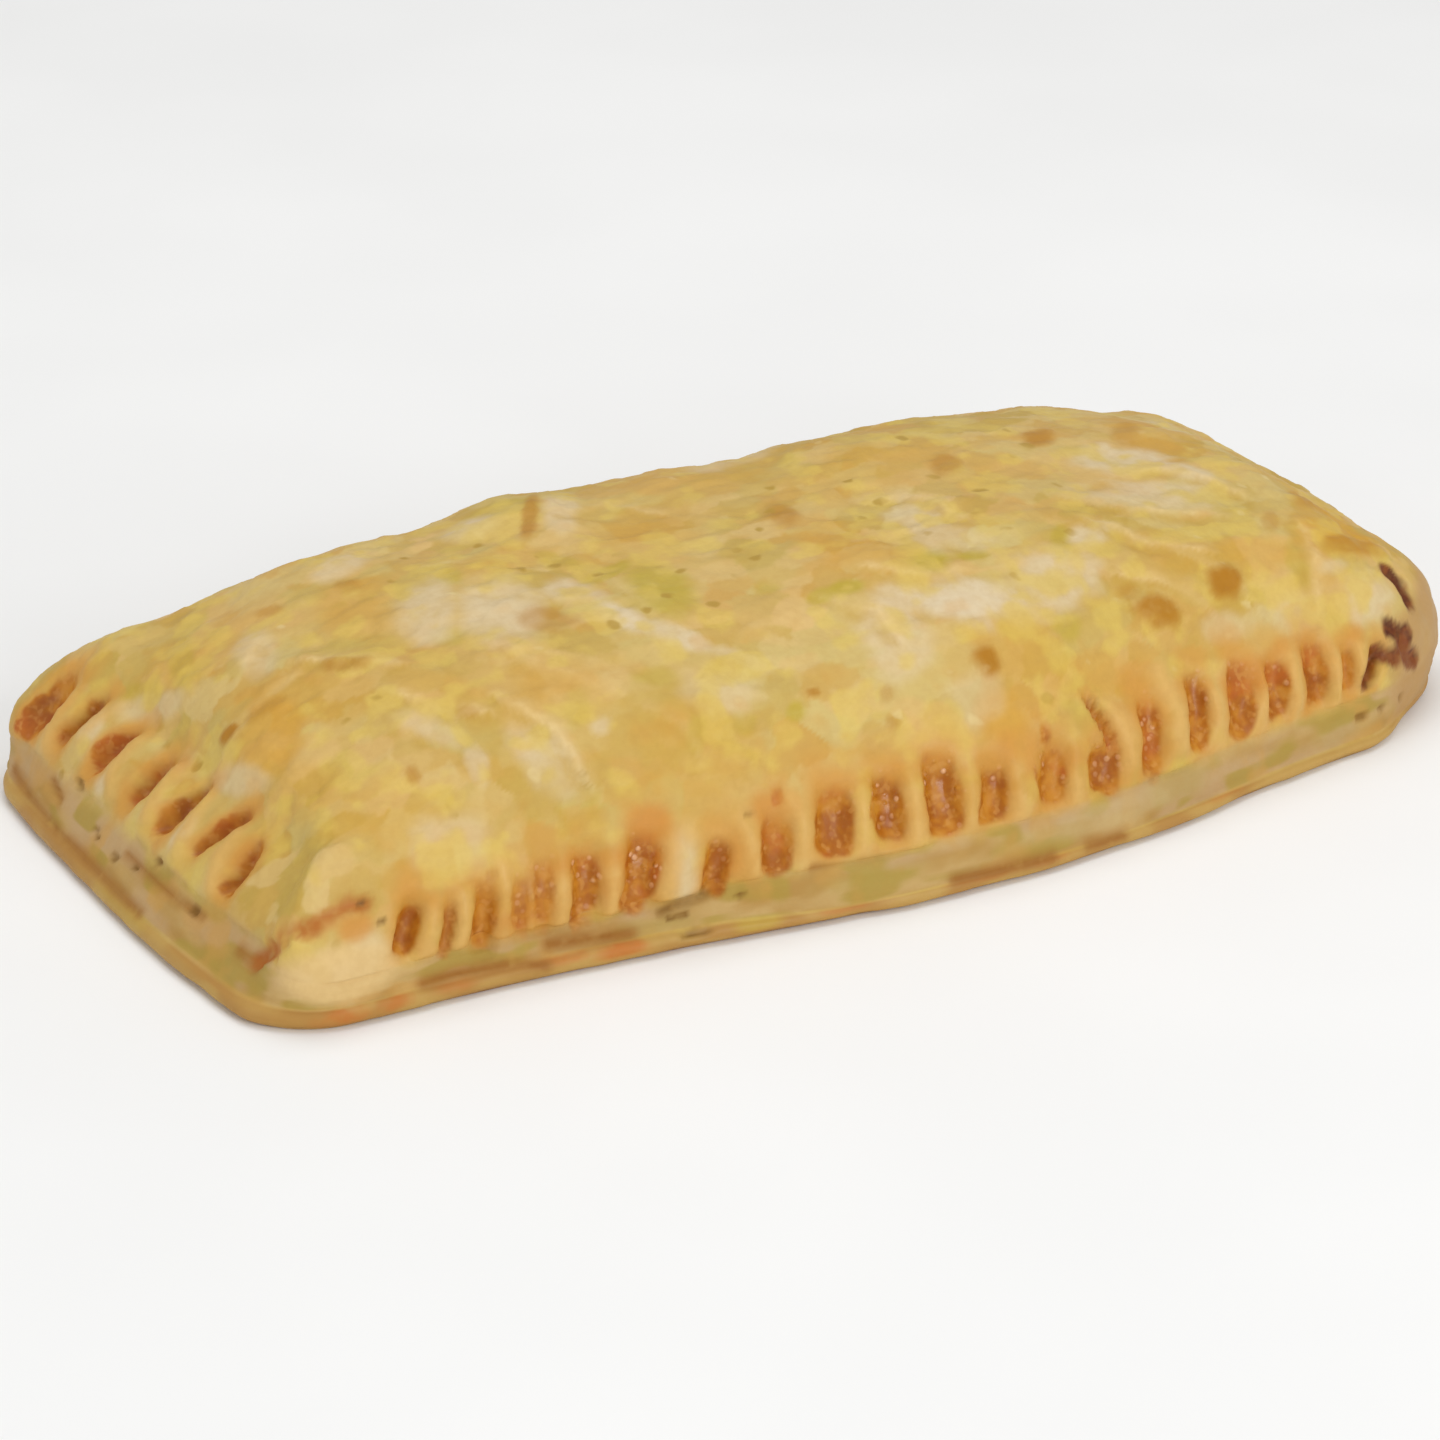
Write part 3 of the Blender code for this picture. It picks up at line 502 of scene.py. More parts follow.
def build_skin(nu, nv):
    """Points and faces of the whole pie, its rows, and the turned-away crimps."""
    rnd = random.Random(17)
    counts = (nu, nv, nu, nv)
    n = 2 * (nu + nv)
    control = np.zeros((n, len(SIDE_ROWS), 3))
    starts, totals = [], []
    travelled, c = 0.0, 0
    for side in range(4):
        _, _, _, _, arc0, straight, arc1 = side_sizes(side)
        total = arc0 + straight + arc1
        starts.append(c)
        totals.append(total)
        for i in range(counts[side]):
            s = total * i / counts[side]
            (px, py), (nx, ny) = side_point(side, s)
            where = travelled + s
            wave = EDGE_WAVE * (math.sin(where * 0.061 + 0.7)
                                + 0.6 * math.sin(where * 0.153 + 2.1))
            for k, (inset, z) in enumerate(rows_at(nx, ny, px, py)):
                if 0 < k < 8:
                    inset += wave * (0.5 if k < 3 else 1.0)
                control[c, k] = (px - nx * inset, py - ny * inset, max(z, 0.0))
            c += 1
        travelled += total
    wx, wy = plan_warp(control[..., 0], control[..., 1])
    control[..., 0], control[..., 1] = wx, wy

    weights, place = spline_weights(ROW_STEPS)
    wall = np.einsum("rk,nkc->rnc", weights, control)
    wall[0, :, 2] = 0.0
    wall[..., 2] = np.maximum(wall[..., 2], 0.0)
    rows = len(place)

    rim = wall[-1]
    front = rim[0:nu + 1]
    right = rim[nu:nu + nv + 1]
    back = rim[nu + nv:2 * nu + nv + 1][::-1]
    left = np.concatenate([rim[2 * nu + nv:], rim[:1]])[::-1]
    u = (np.arange(nu + 1) / nu)[:, None, None]
    v = (np.arange(nv + 1) / nv)[None, :, None]
    lid = ((1 - v) * front[:, None] + v * back[:, None]
           + (1 - u) * left[None] + u * right[None]
           - ((1 - u) * (1 - v) * front[0] + u * (1 - v) * front[-1]
              + (1 - u) * v * back[0] + u * v * back[-1]))
    gu, gv = 2 * u[..., 0] - 1, 2 * v[..., 0] - 1
    power = np.where(gv > 0, LID_BACK_POWER, LID_FRONT_POWER)
    pillow = (1 - np.abs(gu) ** LID_END_POWER) * (1 - np.abs(gv) ** power)
    lx, ly, lz = lid[..., 0], lid[..., 1], lid[..., 2]
    z = lz + (smooth_table(CROWN, lx) - lz) * pillow
    for cx, cy, rx, ry, h in HUMMOCKS:
        z = z + pillow * h * np.exp(-((lx - cx) / rx) ** 2 - ((ly - cy) / ry) ** 2)
    lid[..., 2] = z

    # crimps of the right end and the back, pressed straight up the side
    top_row = int(np.argmin(np.abs(place - 9.5)))
    low_row = int(np.argmin(np.abs(place - 6.7)))
    hidden = []
    for side, runs in ((1, RIGHT_RUNS), (2, BACK_RUNS)):
        along, _, r0, _, arc0, _, _ = side_sizes(side)
        turn = 1.0 if side == 1 else -1.0
        for first, last, count in runs:
            pitch = (last - first) / (count - 1)
            for i in range(count):
                t = first + pitch * (i + 0.08 * rnd.uniform(-1, 1))
                s = t * turn + along - r0 + arc0
                j = starts[side] + int(round(s / totals[side] * counts[side]))
                hidden.append((wall[top_row, j], wall[low_row, j],
                               pitch * 0.26 * rnd.uniform(0.85, 1.15),
                               rnd.uniform(0.6, 0.9), rnd.uniform(0.7, 1.0),
                               rnd.uniform(0.0, 0.7)))

    # point numbering
    wall_id = np.arange(rows * n).reshape(rows, n)
    lid_id = np.zeros((nu + 1, nv + 1), int)
    inner = (nu - 1) * (nv - 1)
    lid_id[1:nu, 1:nv] = rows * n + np.arange(inner).reshape(nu - 1, nv - 1)
    top = wall_id[-1]
    lid_id[0:nu, 0] = top[0:nu]
    lid_id[nu, 0:nv] = top[nu:nu + nv]
    lid_id[nu:0:-1, nv] = top[nu + nv:2 * nu + nv]
    lid_id[0, nv:0:-1] = top[2 * nu + nv:]
    shrink = (0.97, 0.9, 0.78, 0.6, 0.38, 0.16)
    under = [np.concatenate([wall[0, :, :2] * f, np.zeros((n, 1))], 1) for f in shrink]
    under_id = rows * n + inner + np.arange(len(shrink) * n).reshape(len(shrink), n)
    hub = rows * n + inner + len(shrink) * n
    points = np.concatenate([wall.reshape(-1, 3), lid[1:nu, 1:nv].reshape(-1, 3)]
                            + under + [np.zeros((1, 3))])

    nxt = np.roll(np.arange(n), -1)
    quads = [np.stack([wall_id[:-1], wall_id[:-1][:, nxt],
                       wall_id[1:][:, nxt], wall_id[1:]], -1).reshape(-1, 4)]
    quads.append(np.stack([lid_id[:-1, :-1], lid_id[1:, :-1],
                           lid_id[1:, 1:], lid_id[:-1, 1:]], -1).reshape(-1, 4))
    outer = wall_id[0]
    for ring in under_id:
        quads.append(np.stack([outer[nxt], outer, ring, ring[nxt]], -1))
        outer = ring
    quads = np.concatenate(quads)
    tris = np.stack([outer[nxt], outer, np.full(n, hub)], -1)

    row = np.full(len(points), -1.0)
    row[:rows * n] = np.repeat(place, n)
    row[rows * n:rows * n + inner] = len(SIDE_ROWS) - 1.0
    is_lid = np.zeros(len(points))
    is_lid[rows * n:rows * n + inner] = 1.0
    gi, gj = np.arange(1, nu)[:, None], np.arange(1, nv)[None, :]
    rim_away = np.zeros(len(points))
    rim_away[rows * n:rows * n + inner] = np.minimum(
        np.minimum(gi, nu - gi) * (LENGTH / nu), np.minimum(gj, nv - gj) * (WIDTH / nv)).reshape(-1)
    points = relax(points, quads, ramp(row, 8.2, 10.4) * (1 - ramp(rim_away, 6.0, 12.0)), 70)
    return points, quads, tris, row, is_lid, hidden


def to_mesh(name, points, quads, tris):
    mesh = bpy.data.meshes.new(name)
    loops = np.concatenate([quads.reshape(-1), tris.reshape(-1)]).astype(np.int32)
    starts = np.concatenate([np.arange(len(quads)) * 4,
                             len(quads) * 4 + np.arange(len(tris)) * 3]).astype(np.int32)
    mesh.vertices.add(len(points))
    mesh.vertices.foreach_set("co", (points * MM).astype(np.float32).reshape(-1))
    mesh.loops.add(len(loops))
    mesh.loops.foreach_set("vertex_index", loops)
    mesh.polygons.add(len(starts))
    mesh.polygons.foreach_set("loop_start", starts)
    mesh.update(calc_edges=True)
    mesh.validate()
    return mesh


def normals_of(mesh):
    out = np.zeros(len(mesh.vertices) * 3, np.float32)
    mesh.vertex_normals.foreach_get("vector", out)
    return out.reshape(-1, 3).astype(float)


def put(mesh, points):
    mesh.vertices.foreach_set("co", (points * MM).astype(np.float32).reshape(-1))
    mesh.update()


def keep(mesh, name, values):
    layer = mesh.attributes.new(name, "FLOAT", "POINT")
    layer.data.foreach_set("value", np.clip(values, 0.0, 1.0).astype(np.float32))


def slot_fields(points, normal, slots, squareness, wobble):
    """Press depth, browning, gloss and halo of the crimps; the gloss also places painted glints."""
    press, tone, shine, halo = (np.zeros(len(points)) for _ in range(4))
    for top, bottom, half, depth, brown, gloss in slots:
        top, bottom = np.array(top, float), np.array(bottom, float)
        centre, axis = (top + bottom) / 2, bottom - top
        reach = np.linalg.norm(axis) / 2
        axis = axis / (2 * reach)
        away = ((points - centre) ** 2).sum(1)
        near = np.where(away < (reach + 3.0 * half) ** 2)[0]
        close = near[away[near] < 6.0]
        face = normal[close if len(close) else near].mean(0)
        across = np.cross(axis, face)
        across /= np.linalg.norm(across)
        q = points[near] - centre
        along = q @ axis / reach
        bend = 0.32 * half * wobble[near]
        l = np.abs(along + 0.10) / np.where(along < -0.10, 1.34, 1.14)
        c = np.abs(q @ across + bend) / (half * 1.06)
        r = (l ** squareness + c ** squareness) ** (1.0 / squareness)
        g = 1.0 - smooth((r - 0.35) / 0.85)
        stain = depth < 0.35
        press[near] = np.maximum(press[near], depth * g * (0.4 if stain else 1.0))
        edge = 1.0 - smooth((r + 0.35 * wobble[near] - (0.45 if stain else 0.62)) / (0.9 if stain else 0.5))
        fade = 1.0 - 0.45 * smooth((-along - 0.25) / 1.0)
        tone[near] = np.maximum(tone[near], brown * edge * fade * (0.92 + 0.10 * wobble[near]))
        upper = smooth((0.35 - along) / 0.7)
        shine[near] = np.maximum(shine[near], gloss * edge * (0.35 + 0.65 * upper))
        halo[near] = np.maximum(halo[near], brown * (1.0 - smooth((r - 0.9) / 1.2)))
    return press, tone, shine, halo


def make_pie():
    points, quads, tris, row, is_lid, hidden = build_skin(300, 150)
    # the same centring as the solid has
    low, high = points.min(0), points.max(0)
    shift = np.array([-(low[0] + high[0]) / 2, -(low[1] + high[1]) / 2, 0.0])
    points = points + shift
    hidden = [(a + shift, b + shift, *rest) for a, b, *rest in hidden]
    mesh = to_mesh("pastry", points, quads, tris)
    normal = normals_of(mesh)
    x, y, z = points.T
    under = ((row < 0.01) & (is_lid < 0.5)).astype(float)

    wob = layered(points, 3.0, 5)
    wob2 = layered(points, 1.6, 9)
    # how far up the side a point is: bottom sheet, cut side, crust
    sheet = (1 - ramp(row, 2.5, 3.0)) * (1 - under)
    wall = ramp(row, 2.6, 3.1) * (1 - ramp(row + 0.9 * wob, 4.9, 7.3))
    crust = ramp(row, 5.9, 6.8)
    full = ramp(row, 5.4, 8.4)
    lid = ramp(row, 9.8, 11.0)
    corner = ramp(x, 56.0, 60.0) * (1 - ramp(y, -19.0, -13.0)) * (1 - ramp(row, 9.0, 10.0))

    front = slot_fields(points, normal, FRONT_SLOTS, 4.2, wob)
    left = slot_fields(points, normal, LEFT_SLOTS, 2.4, 1.5 * wob)
    away = slot_fields(points, normal, hidden, 2.8, wob)
    press, tone, shine, halo = (np.maximum(np.maximum(a, b), c)
                                for a, b, c in zip(front, left, away))

    on_lid = ramp(row, 9.0, 10.6)
    pale = blots(x, y, PALE_BLOTS, wob) * on_lid
    gold = blots(x, y, GOLD_BLOTS, wob) * ramp(row, 8.0, 9.5)
    olive = blots(x, y, OLIVE_BLOTS, wob) * on_lid
    brown = blots(x, y, BROWN_BLOTS, 0.9 * wob2) * on_lid
    pale = np.maximum(pale, wall_blots(points, PALE_WALL, wob) * (1 - is_lid))
    olive = np.maximum(olive, wall_blots(points, OLIVE_WALL, wob) * (1 - is_lid))
    tan = wall_blots(points, TAN_WALL, wob)
    orange = wall_blots(points, ORANGE_SHEET, wob2) * (1 - is_lid) * (1 - under)

    crease = lines(points + 0.5 * np.stack([wob, wob2, -wob], 1), (FRONT_LEFT_CREASE,), np.clip(1.0 + 0.9 * wob2 + 0.6 * wob, 0.45, 2.0))
    shaken = points + 0.5 * np.stack([wob2, noise(points, 1.3, 14), noise(points, 1.5, 15)], 1)
    burn = lines(shaken, BURNS, 1.45)
    burn_dip = lines(points, BURNS, 0.8)
    crack = lines(points + 0.25 * np.stack([wob2, wob2, -wob2], 1), CRACKS, 0.5)
    drawn = lines(points, SHEET_LINES, 0.75)
    streak = lines(points, STREAKS, 0.5)
    strokes = lines(points, RIDGE_STROKES, 1.05) * (1 - np.clip(press, 0, 1))
    pit = np.zeros(len(points))
    rnd = random.Random(29)
    pits = list(PITS)
    for _ in range(16):                 # a few more on the sides turned away
        if rnd.random() < 0.3:
            pits.append((70.8, rnd.uniform(-12, 28), rnd.uniform(2.6, 5.0), rnd.uniform(0.4, 0.7)))
        else:
            pits.append((rnd.uniform(-60, 58), 35.0, rnd.uniform(2.6, 5.0), rnd.uniform(0.4, 0.8)))
    for px, py, pz, size in pits:
        end = abs(px) > 62 and abs(py) < 29
        t = np.abs(points - np.array([px, py, pz])) / np.array(
            [2.0 if end else size * 1.1, size * 1.1 if end else 2.0, size * 0.6])
        r = np.sqrt((t ** 2).sum(1)) + 0.6 * wob2
        pit = np.maximum(pit, 1 - smooth((r - 0.5) / 0.9))

    # ---- relief ---------------------------------------------------------
    soft = crust * (1 - under)
    calm = 1 - 0.8 * np.clip(press * 1.5, 0, 1)
    d = soft * calm * (0.30 * noise(points, 11.0, 1) * lid + 0.20 * noise(points, 6.0, 2)
                       + 0.12 * noise(points, 3.0, 3) + 0.06 * noise(points, 1.5, 4))
    # thin leaves of the skin end in low steps
    for seed, size, at, high in ((21, 9.0, 0.06, 0.16), (22, 6.0, 0.18, 0.15),
                                 (23, 12.0, -0.12, 0.15), (24, 4.0, 0.22, 0.12),
                                 (25, 5.0, -0.2, 0.12)):
        leaf = layered(points, size, seed, 3, (1.5, 0.8, 1.0))
        d += high * ramp(leaf, at, at + 0.06) * soft * (0.3 + 0.7 * lid) * calm
    # along each leaf edge: a painted highlight on the high side of the step and a painted shadow at its foot
    lip_highlight = np.zeros(len(points))
    foot = np.zeros(len(points))
    warped = points[:, :2] + 0.5 * np.stack([wob, noise(points, 4.0, 6)], 1)
    broken = 0.35 + 0.65 * ramp(noise(points, 5.0, 8), -0.25, 0.35)
    for k, line in enumerate(LEAF_EDGES):
        dist, hand = line_distance(warped, line)
        high = (0.24 if k % 3 else 0.34) * broken
        d += high * lid * np.where(hand > 0, np.exp(-(dist / 2.6) ** 2), np.exp(-(dist / 0.45) ** 2))
        lip_highlight = np.maximum(lip_highlight, broken * np.where(hand > 0, np.exp(-(dist / 1.2) ** 2), np.exp(-(dist / 0.3) ** 2)))
        foot = np.maximum(foot, broken * np.where(hand > 0, 0.0, np.exp(-((dist - 0.9) / 0.9) ** 2)))
    lip_highlight, foot = lip_highlight * lid, foot * lid
    d += 0.22 * brown * lid + 0.12 * pale * lid - 0.32 * lid
    # crimps pressed in, soft ridges pushed up between them
    d -= PRESS * press
    d += 0.42 * strokes * full
    d += 0.25 * full * (1 - lid) * (1 - np.clip(halo, 0, 1)) * (0.6 + 0.6 * noise(points, 3.4, 31))
    d += np.clip(tone, 0, 1) * 0.10 * noise(points, 1.5, 32)
    # cut side: smooth dough, faintly layered
    leafy = z / 0.8 + 0.8 * noise(points, 12.0, 41, (1, 1, 0.6)) + 0.3 * noise(points, 4.0, 42)
    d += wall * (0.05 * np.sin(2 * math.pi * leafy) + 0.20 * noise(points, 6.0, 43, (1, 1, 0.5))
                 + 0.10 * noise(points, 2.2, 44, (1, 1, 0.6)))
    d -= 0.32 * pit + 0.5 * crack + 0.22 * streak
    # bottom sheet's edge
    d += sheet * (0.12 * noise(points, 2.6, 51) + 0.16 * noise(points, 7.0, 52))
    # browned crease over the front left flap; burns in the folds at the right
    d -= 0.75 * crease
    flap = np.exp(-((x + 60.6) / 5.6) ** 2 - ((z - 4.9) / 2.7) ** 2 - ((y + 28.0) / 4.5) ** 2)
    d += 0.7 * flap * (1 - crease)
    fold = np.exp(-((x - 57.8) / 4.2) ** 2 - ((y + 23.4) / 3.2) ** 2) * lid
    d += 0.55 * fold - 0.6 * burn_dip
    gap = np.exp(-((x + 26.2) / 2.6) ** 2 - ((z - 7.6) / 3.2) ** 2) * (y < -25)
    d += 0.45 * gap * (1 - np.clip(press, 0, 1))
    points = points + normal * d[:, None]

    hollow = 0.10 + 0.10 * noise(points, 4.0, 61) + 0.05 * noise(points, 1.5, 62)
    bottom = row < -0.5
    points[bottom, 2] = np.maximum(hollow[bottom], 0.0)
    points[(row >= 0) & (row < 0.01), 2] = 0.0
    points[:, 2] = np.maximum(points[:, 2], 0.0)

    # stay inside the solid's box
    lo, hi = np.array(CAD_BOX[0]) / MM, np.array(CAD_BOX[1]) / MM
    for axis in (0, 1):
        slack = 0.01 * (hi[axis] - lo[axis])
        points[:, axis] = np.clip(points[:, axis], lo[axis] - slack, hi[axis] + slack)
    put(mesh, points)

    rest = np.stack([x, y, z], 1)
    large, large_hue = flakes(rest, 7.5, 71, (1.3, 0.9, 1.0), 6.0, 3.6)
    little, little_hue = flakes(rest, 3.4, 81, (1.4, 0.9, 1.0), 2.6, 1.5)
    for name, values in (
            ("flake_a", large), ("hue_a", large_hue), ("flake_b", little), ("hue_b", little_hue),
            ("small", field(rest, 3.4, 91)), ("patch", field(rest, 8.0, 92)),
            ("broad", field(rest, 16.0, 93)), ("veil", field(rest, 12.0, 94, 2)),
            ("leaves", field(rest, 6.0, 95, 3, (1.0, 1.0, 0.32))),
            ("pink", field(rest, 9.0, 96, 2, (1.0, 1.0, 0.5))),
            ("green", field(rest, 5.0, 97, 2, (1.0, 1.0, 0.4))),
            ("bed", tone), ("deep", 4 * np.clip(tone - 0.9, 0, 1) + 0.6 * np.clip(press - 0.75, 0, 1)),
            ("halo", halo * (1 - wall)), ("gloss", shine), ("strokes", strokes),
            ("wall", wall), ("sheet", sheet), ("under", under), ("brown", brown),
            ("pale", pale), ("gold", gold), ("olive", olive), ("tan", tan),
            ("orange", orange), ("burn", ramp(burn, 0.35, 0.75)),
            ("pit", np.maximum(crack, pit * 0.9)), ("line", np.maximum(drawn, streak * 0.8)),
            ("flap", ramp(flap + 0.12 * wob, 0.15, 0.6) * (1 - np.clip(crease * 1.4, 0, 1))),
            ("crease", ramp(crease, 0.1, 0.9)), ("corner", corner),
            ("lip_highlight", lip_highlight), ("foot", foot)):
        keep(mesh, name, values)
    mesh.shade_smooth()
    obj = bpy.data.objects.new("pastry", mesh)
    bpy.context.scene.collection.objects.link(obj)
    return obj


# -------------------------------------------------------------- materials --
def srgb(r, g, b):
    def one(v):
        v /= 255.0
        return v / 12.92 if v <= 0.04045 else ((v + 0.055) / 1.055) ** 2.4
    return (one(r), one(g), one(b), 1.0)


class Nodes:
    """Short names for the shader nodes used here."""

    def __init__(self, name):
        self.mat = bpy.data.materials.new(name)
        self.mat.use_nodes = True
        self.tree = self.mat.node_tree
        self.tree.nodes.clear()
        self.out = self.tree.nodes.new("ShaderNodeOutputMaterial")
        self.shader = self.tree.nodes.new("ShaderNodeBsdfPrincipled")
        self.link(self.shader.outputs[0], self.out.inputs[0])
        self.place = self.tree.nodes.new("ShaderNodeTexCoord").outputs["Object"]

    def link(self, a, b):
        self.tree.links.new(a, b)

    def set(self, socket, value):
        if isinstance(value, bpy.types.NodeSocket):
            self.link(value, socket)
        else:
            socket.default_value = value

    def attribute(self, name):
        node = self.tree.nodes.new("ShaderNodeAttribute")
        node.attribute_name = name
        return node.outputs["Fac"]

    def stretch(self, x, y, z):
        node = self.tree.nodes.new("ShaderNodeMapping")
        self.link(self.place, node.inputs["Vector"])
        node.inputs["Scale"].default_value = (x, y, z)
        return node.outputs[0]

    def noise(self, size_mm, detail=2.0, rough=0.5, vector=None, warp=0.0):
        node = self.tree.nodes.new("ShaderNodeTexNoise")
        self.link(vector or self.place, node.inputs["Vector"])
        node.inputs["Scale"].default_value = 1000.0 / size_mm
        node.inputs["Detail"].default_value = detail
        node.inputs["Roughness"].default_value = rough
        node.inputs["Distortion"].default_value = warp
        return node.outputs["Fac"]

    def spots(self, size_mm, vector=None):
        node = self.tree.nodes.new("ShaderNodeTexVoronoi")
        self.link(vector or self.place, node.inputs["Vector"])
        node.inputs["Scale"].default_value = 1000.0 / size_mm
        parts = self.tree.nodes.new("ShaderNodeSeparateColor")
        self.link(node.outputs["Color"], parts.inputs[0])
        return node.outputs["Distance"], parts.outputs[0]

    def warped(self, size_mm, amount_mm, stretch=(1.0, 1.0, 1.0)):
        """Object place pushed about by a noise, for ragged outlines."""
        node = self.tree.nodes.new("ShaderNodeTexNoise")
        self.link(self.place, node.inputs["Vector"])
        node.inputs["Scale"].default_value = 1000.0 / size_mm
        node.inputs["Detail"].default_value = 1.0
        push = self.tree.nodes.new("ShaderNodeVectorMath")
        push.operation = "MULTIPLY_ADD"
        self.link(node.outputs["Color"], push.inputs[0])
        push.inputs[1].default_value = (amount_mm * MM,) * 3
        self.link(self.stretch(*stretch), push.inputs[2])
        return push.outputs[0]

    def span(self, value, low, high, to_low=0.0, to_high=1.0):
        node = self.tree.nodes.new("ShaderNodeMapRange")
        node.interpolation_type = "SMOOTHSTEP"
        self.set(node.inputs["Value"], value)
        node.inputs["From Min"].default_value = low
        node.inputs["From Max"].default_value = high
        node.inputs["To Min"].default_value = to_low
        node.inputs["To Max"].default_value = to_high
        return node.outputs["Result"]

    def math(self, kind, a, b=0.0, clamp=False):
        node = self.tree.nodes.new("ShaderNodeMath")
        node.operation = kind
        node.use_clamp = clamp
        self.set(node.inputs[0], a)
        self.set(node.inputs[1], b)
        return node.outputs[0]

    def times(self, a, b):
        return self.math("MULTIPLY", a, b, True)

    def mix(self, fac, a, b, kind="MIX"):
        node = self.tree.nodes.new("ShaderNodeMix")
        node.data_type = "RGBA"
        node.blend_type = kind
        self.set(node.inputs[0], fac)
        self.set(node.inputs[6], a)
        self.set(node.inputs[7], b)
        return node.outputs[2]

    def bump(self, height, distance_mm, strength=1.0, below=None):
        node = self.tree.nodes.new("ShaderNodeBump")
        node.inputs["Strength"].default_value = strength
        node.inputs["Distance"].default_value = distance_mm * MM
        self.link(height, node.inputs["Height"])
        if below is not None:
            self.link(below, node.inputs["Normal"])
        return node.outputs[0]


def pastry_material():
    m = Nodes("baked_puff_pastry")
    near = m.noise(2.4, 2.0, 0.6)
    small = m.attribute("small")
    grain = m.noise(0.9, 1.0, 0.6)
    broad = m.attribute("broad")
    patch = m.attribute("patch")
    veil = m.attribute("veil")
    ragged = m.span(small, 0.28, 0.6, 0.45, 1.0)

    # lid: golden skin that drifts to cream, olive gold and deeper gold,
    # flake by flake
    large, large_hue = m.attribute("flake_a"), m.attribute("hue_a")
    little, little_hue = m.attribute("flake_b"), m.attribute("hue_b")
    tint = m.mix(m.span(patch, 0.34, 0.66), srgb(201, 165, 82), srgb(210, 181, 112))
    tint = m.mix(m.span(broad, 0.45, 0.68, 0.0, 0.5), tint, srgb(203, 160, 76))
    light = m.mix(m.span(large, 0.1, 0.9), srgb(192, 154, 68), srgb(218, 192, 136))
    hue = m.mix(m.span(large_hue, 0.1, 0.9), srgb(188, 168, 78), srgb(214, 162, 84))
    tint = m.mix(0.8, tint, m.mix(0.42, light, hue))
    light = m.mix(m.span(little, 0.05, 0.95), srgb(188, 150, 66), srgb(217, 194, 140))
    hue = m.mix(m.span(little_hue, 0.1, 0.9), srgb(188, 170, 82), srgb(212, 164, 86))
    tint = m.mix(m.span(veil, 0.36, 0.60, 0.25, 0.7), tint, m.mix(0.4, light, hue))
    tint = m.mix(m.times(m.attribute("gold"), 0.82), tint, srgb(206, 154, 46))
    tint = m.mix(m.times(m.attribute("olive"), m.span(small, 0.2, 0.6, 0.6, 0.95)),
                 tint, srgb(184, 162, 42))
    tint = m.mix(m.times(m.attribute("pale"), ragged), tint, srgb(218, 200, 170))
    # painted highlight on the high side of the leaf edges, painted shadow at their foot
    tint = m.mix(m.times(m.attribute("lip_highlight"), m.span(near, 0.3, 0.6, 0.25, 0.7)), tint, srgb(226, 196, 138))
    tint = m.mix(m.times(m.attribute("foot"), m.span(near, 0.3, 0.6, 0.2, 0.6)), tint, srgb(190, 154, 66))
    tint = m.mix(m.span(small, 0.60, 0.78, 0.0, 0.3), tint, srgb(204, 150, 64))
    tint = m.mix(m.span(small, 0.36, 0.49, 0.5, 0.0), tint, srgb(218, 191, 92))
    tint = m.mix(m.times(m.attribute("brown"), m.span(near, 0.25, 0.5, 0.75, 1.0)), tint, srgb(174, 118, 16))
    # small dark gold and pale flecks
    away, kind = m.spots(3.6, m.warped(2.0, 1.5, (1.0, 1.0, 0.7)))
    fleck = m.times(m.span(away, 0.10, 0.24, 1.0, 0.0),
                    m.times(m.span(kind, 0.30, 0.40, 1.0, 0.0), m.span(veil, 0.44, 0.56, 0.1, 0.8)))
    tint = m.mix(fleck, tint, srgb(172, 138, 46))
    fleck = m.times(m.span(away, 0.08, 0.20, 1.0, 0.0),
                    m.times(m.span(kind, 0.68, 0.78), m.span(veil, 0.44, 0.56, 0.45, 0.1)))
    tint = m.mix(fleck, tint, srgb(226, 206, 152))

    # crust round the crimps: warmer, browned in a halo, paler cream on the ridges with a painted highlight along
    # their tops
    tint = m.mix(m.times(m.attribute("halo"), m.span(small, 0.3, 0.62, 0.4, 0.9)),
                 tint, srgb(206, 148, 66))
    tint = m.mix(m.times(m.attribute("tan"), m.span(small, 0.25, 0.6, 0.6, 1.0)),
                 tint, srgb(202, 138, 58))
    # paler ridges between the crimps, partly their own colour and partly a painted highlight on their tops
    tint = m.mix(m.times(m.attribute("strokes"), m.span(near, 0.3, 0.6, 0.5, 0.9)),
                 tint, srgb(215, 172, 100))

    # cut side of the dough
    leaves = m.attribute("leaves")
    cut = m.mix(m.span(leaves, 0.36, 0.62), srgb(174, 136, 72), srgb(192, 160, 104))
    cut = m.mix(m.span(m.attribute("pink"), 0.48, 0.62, 0.0, 0.8),
                cut, srgb(188, 156, 116))
    cut = m.mix(m.span(m.attribute("green"), 0.5, 0.62, 0.0, 0.85),
                cut, srgb(168, 142, 62))
    cut = m.mix(m.span(small, 0.52, 0.68, 0.0, 0.55), cut, srgb(196, 150, 78))
    cut = m.mix(m.times(m.attribute("olive"), 0.7), cut, srgb(170, 150, 74))
    cut = m.mix(m.times(m.attribute("pale"), 0.75), cut, srgb(196, 172, 126))
    tint = m.mix(m.attribute("wall"), tint, cut)
    tint = m.mix(m.times(m.attribute("corner"), 0.85), tint, srgb(180, 142, 94))

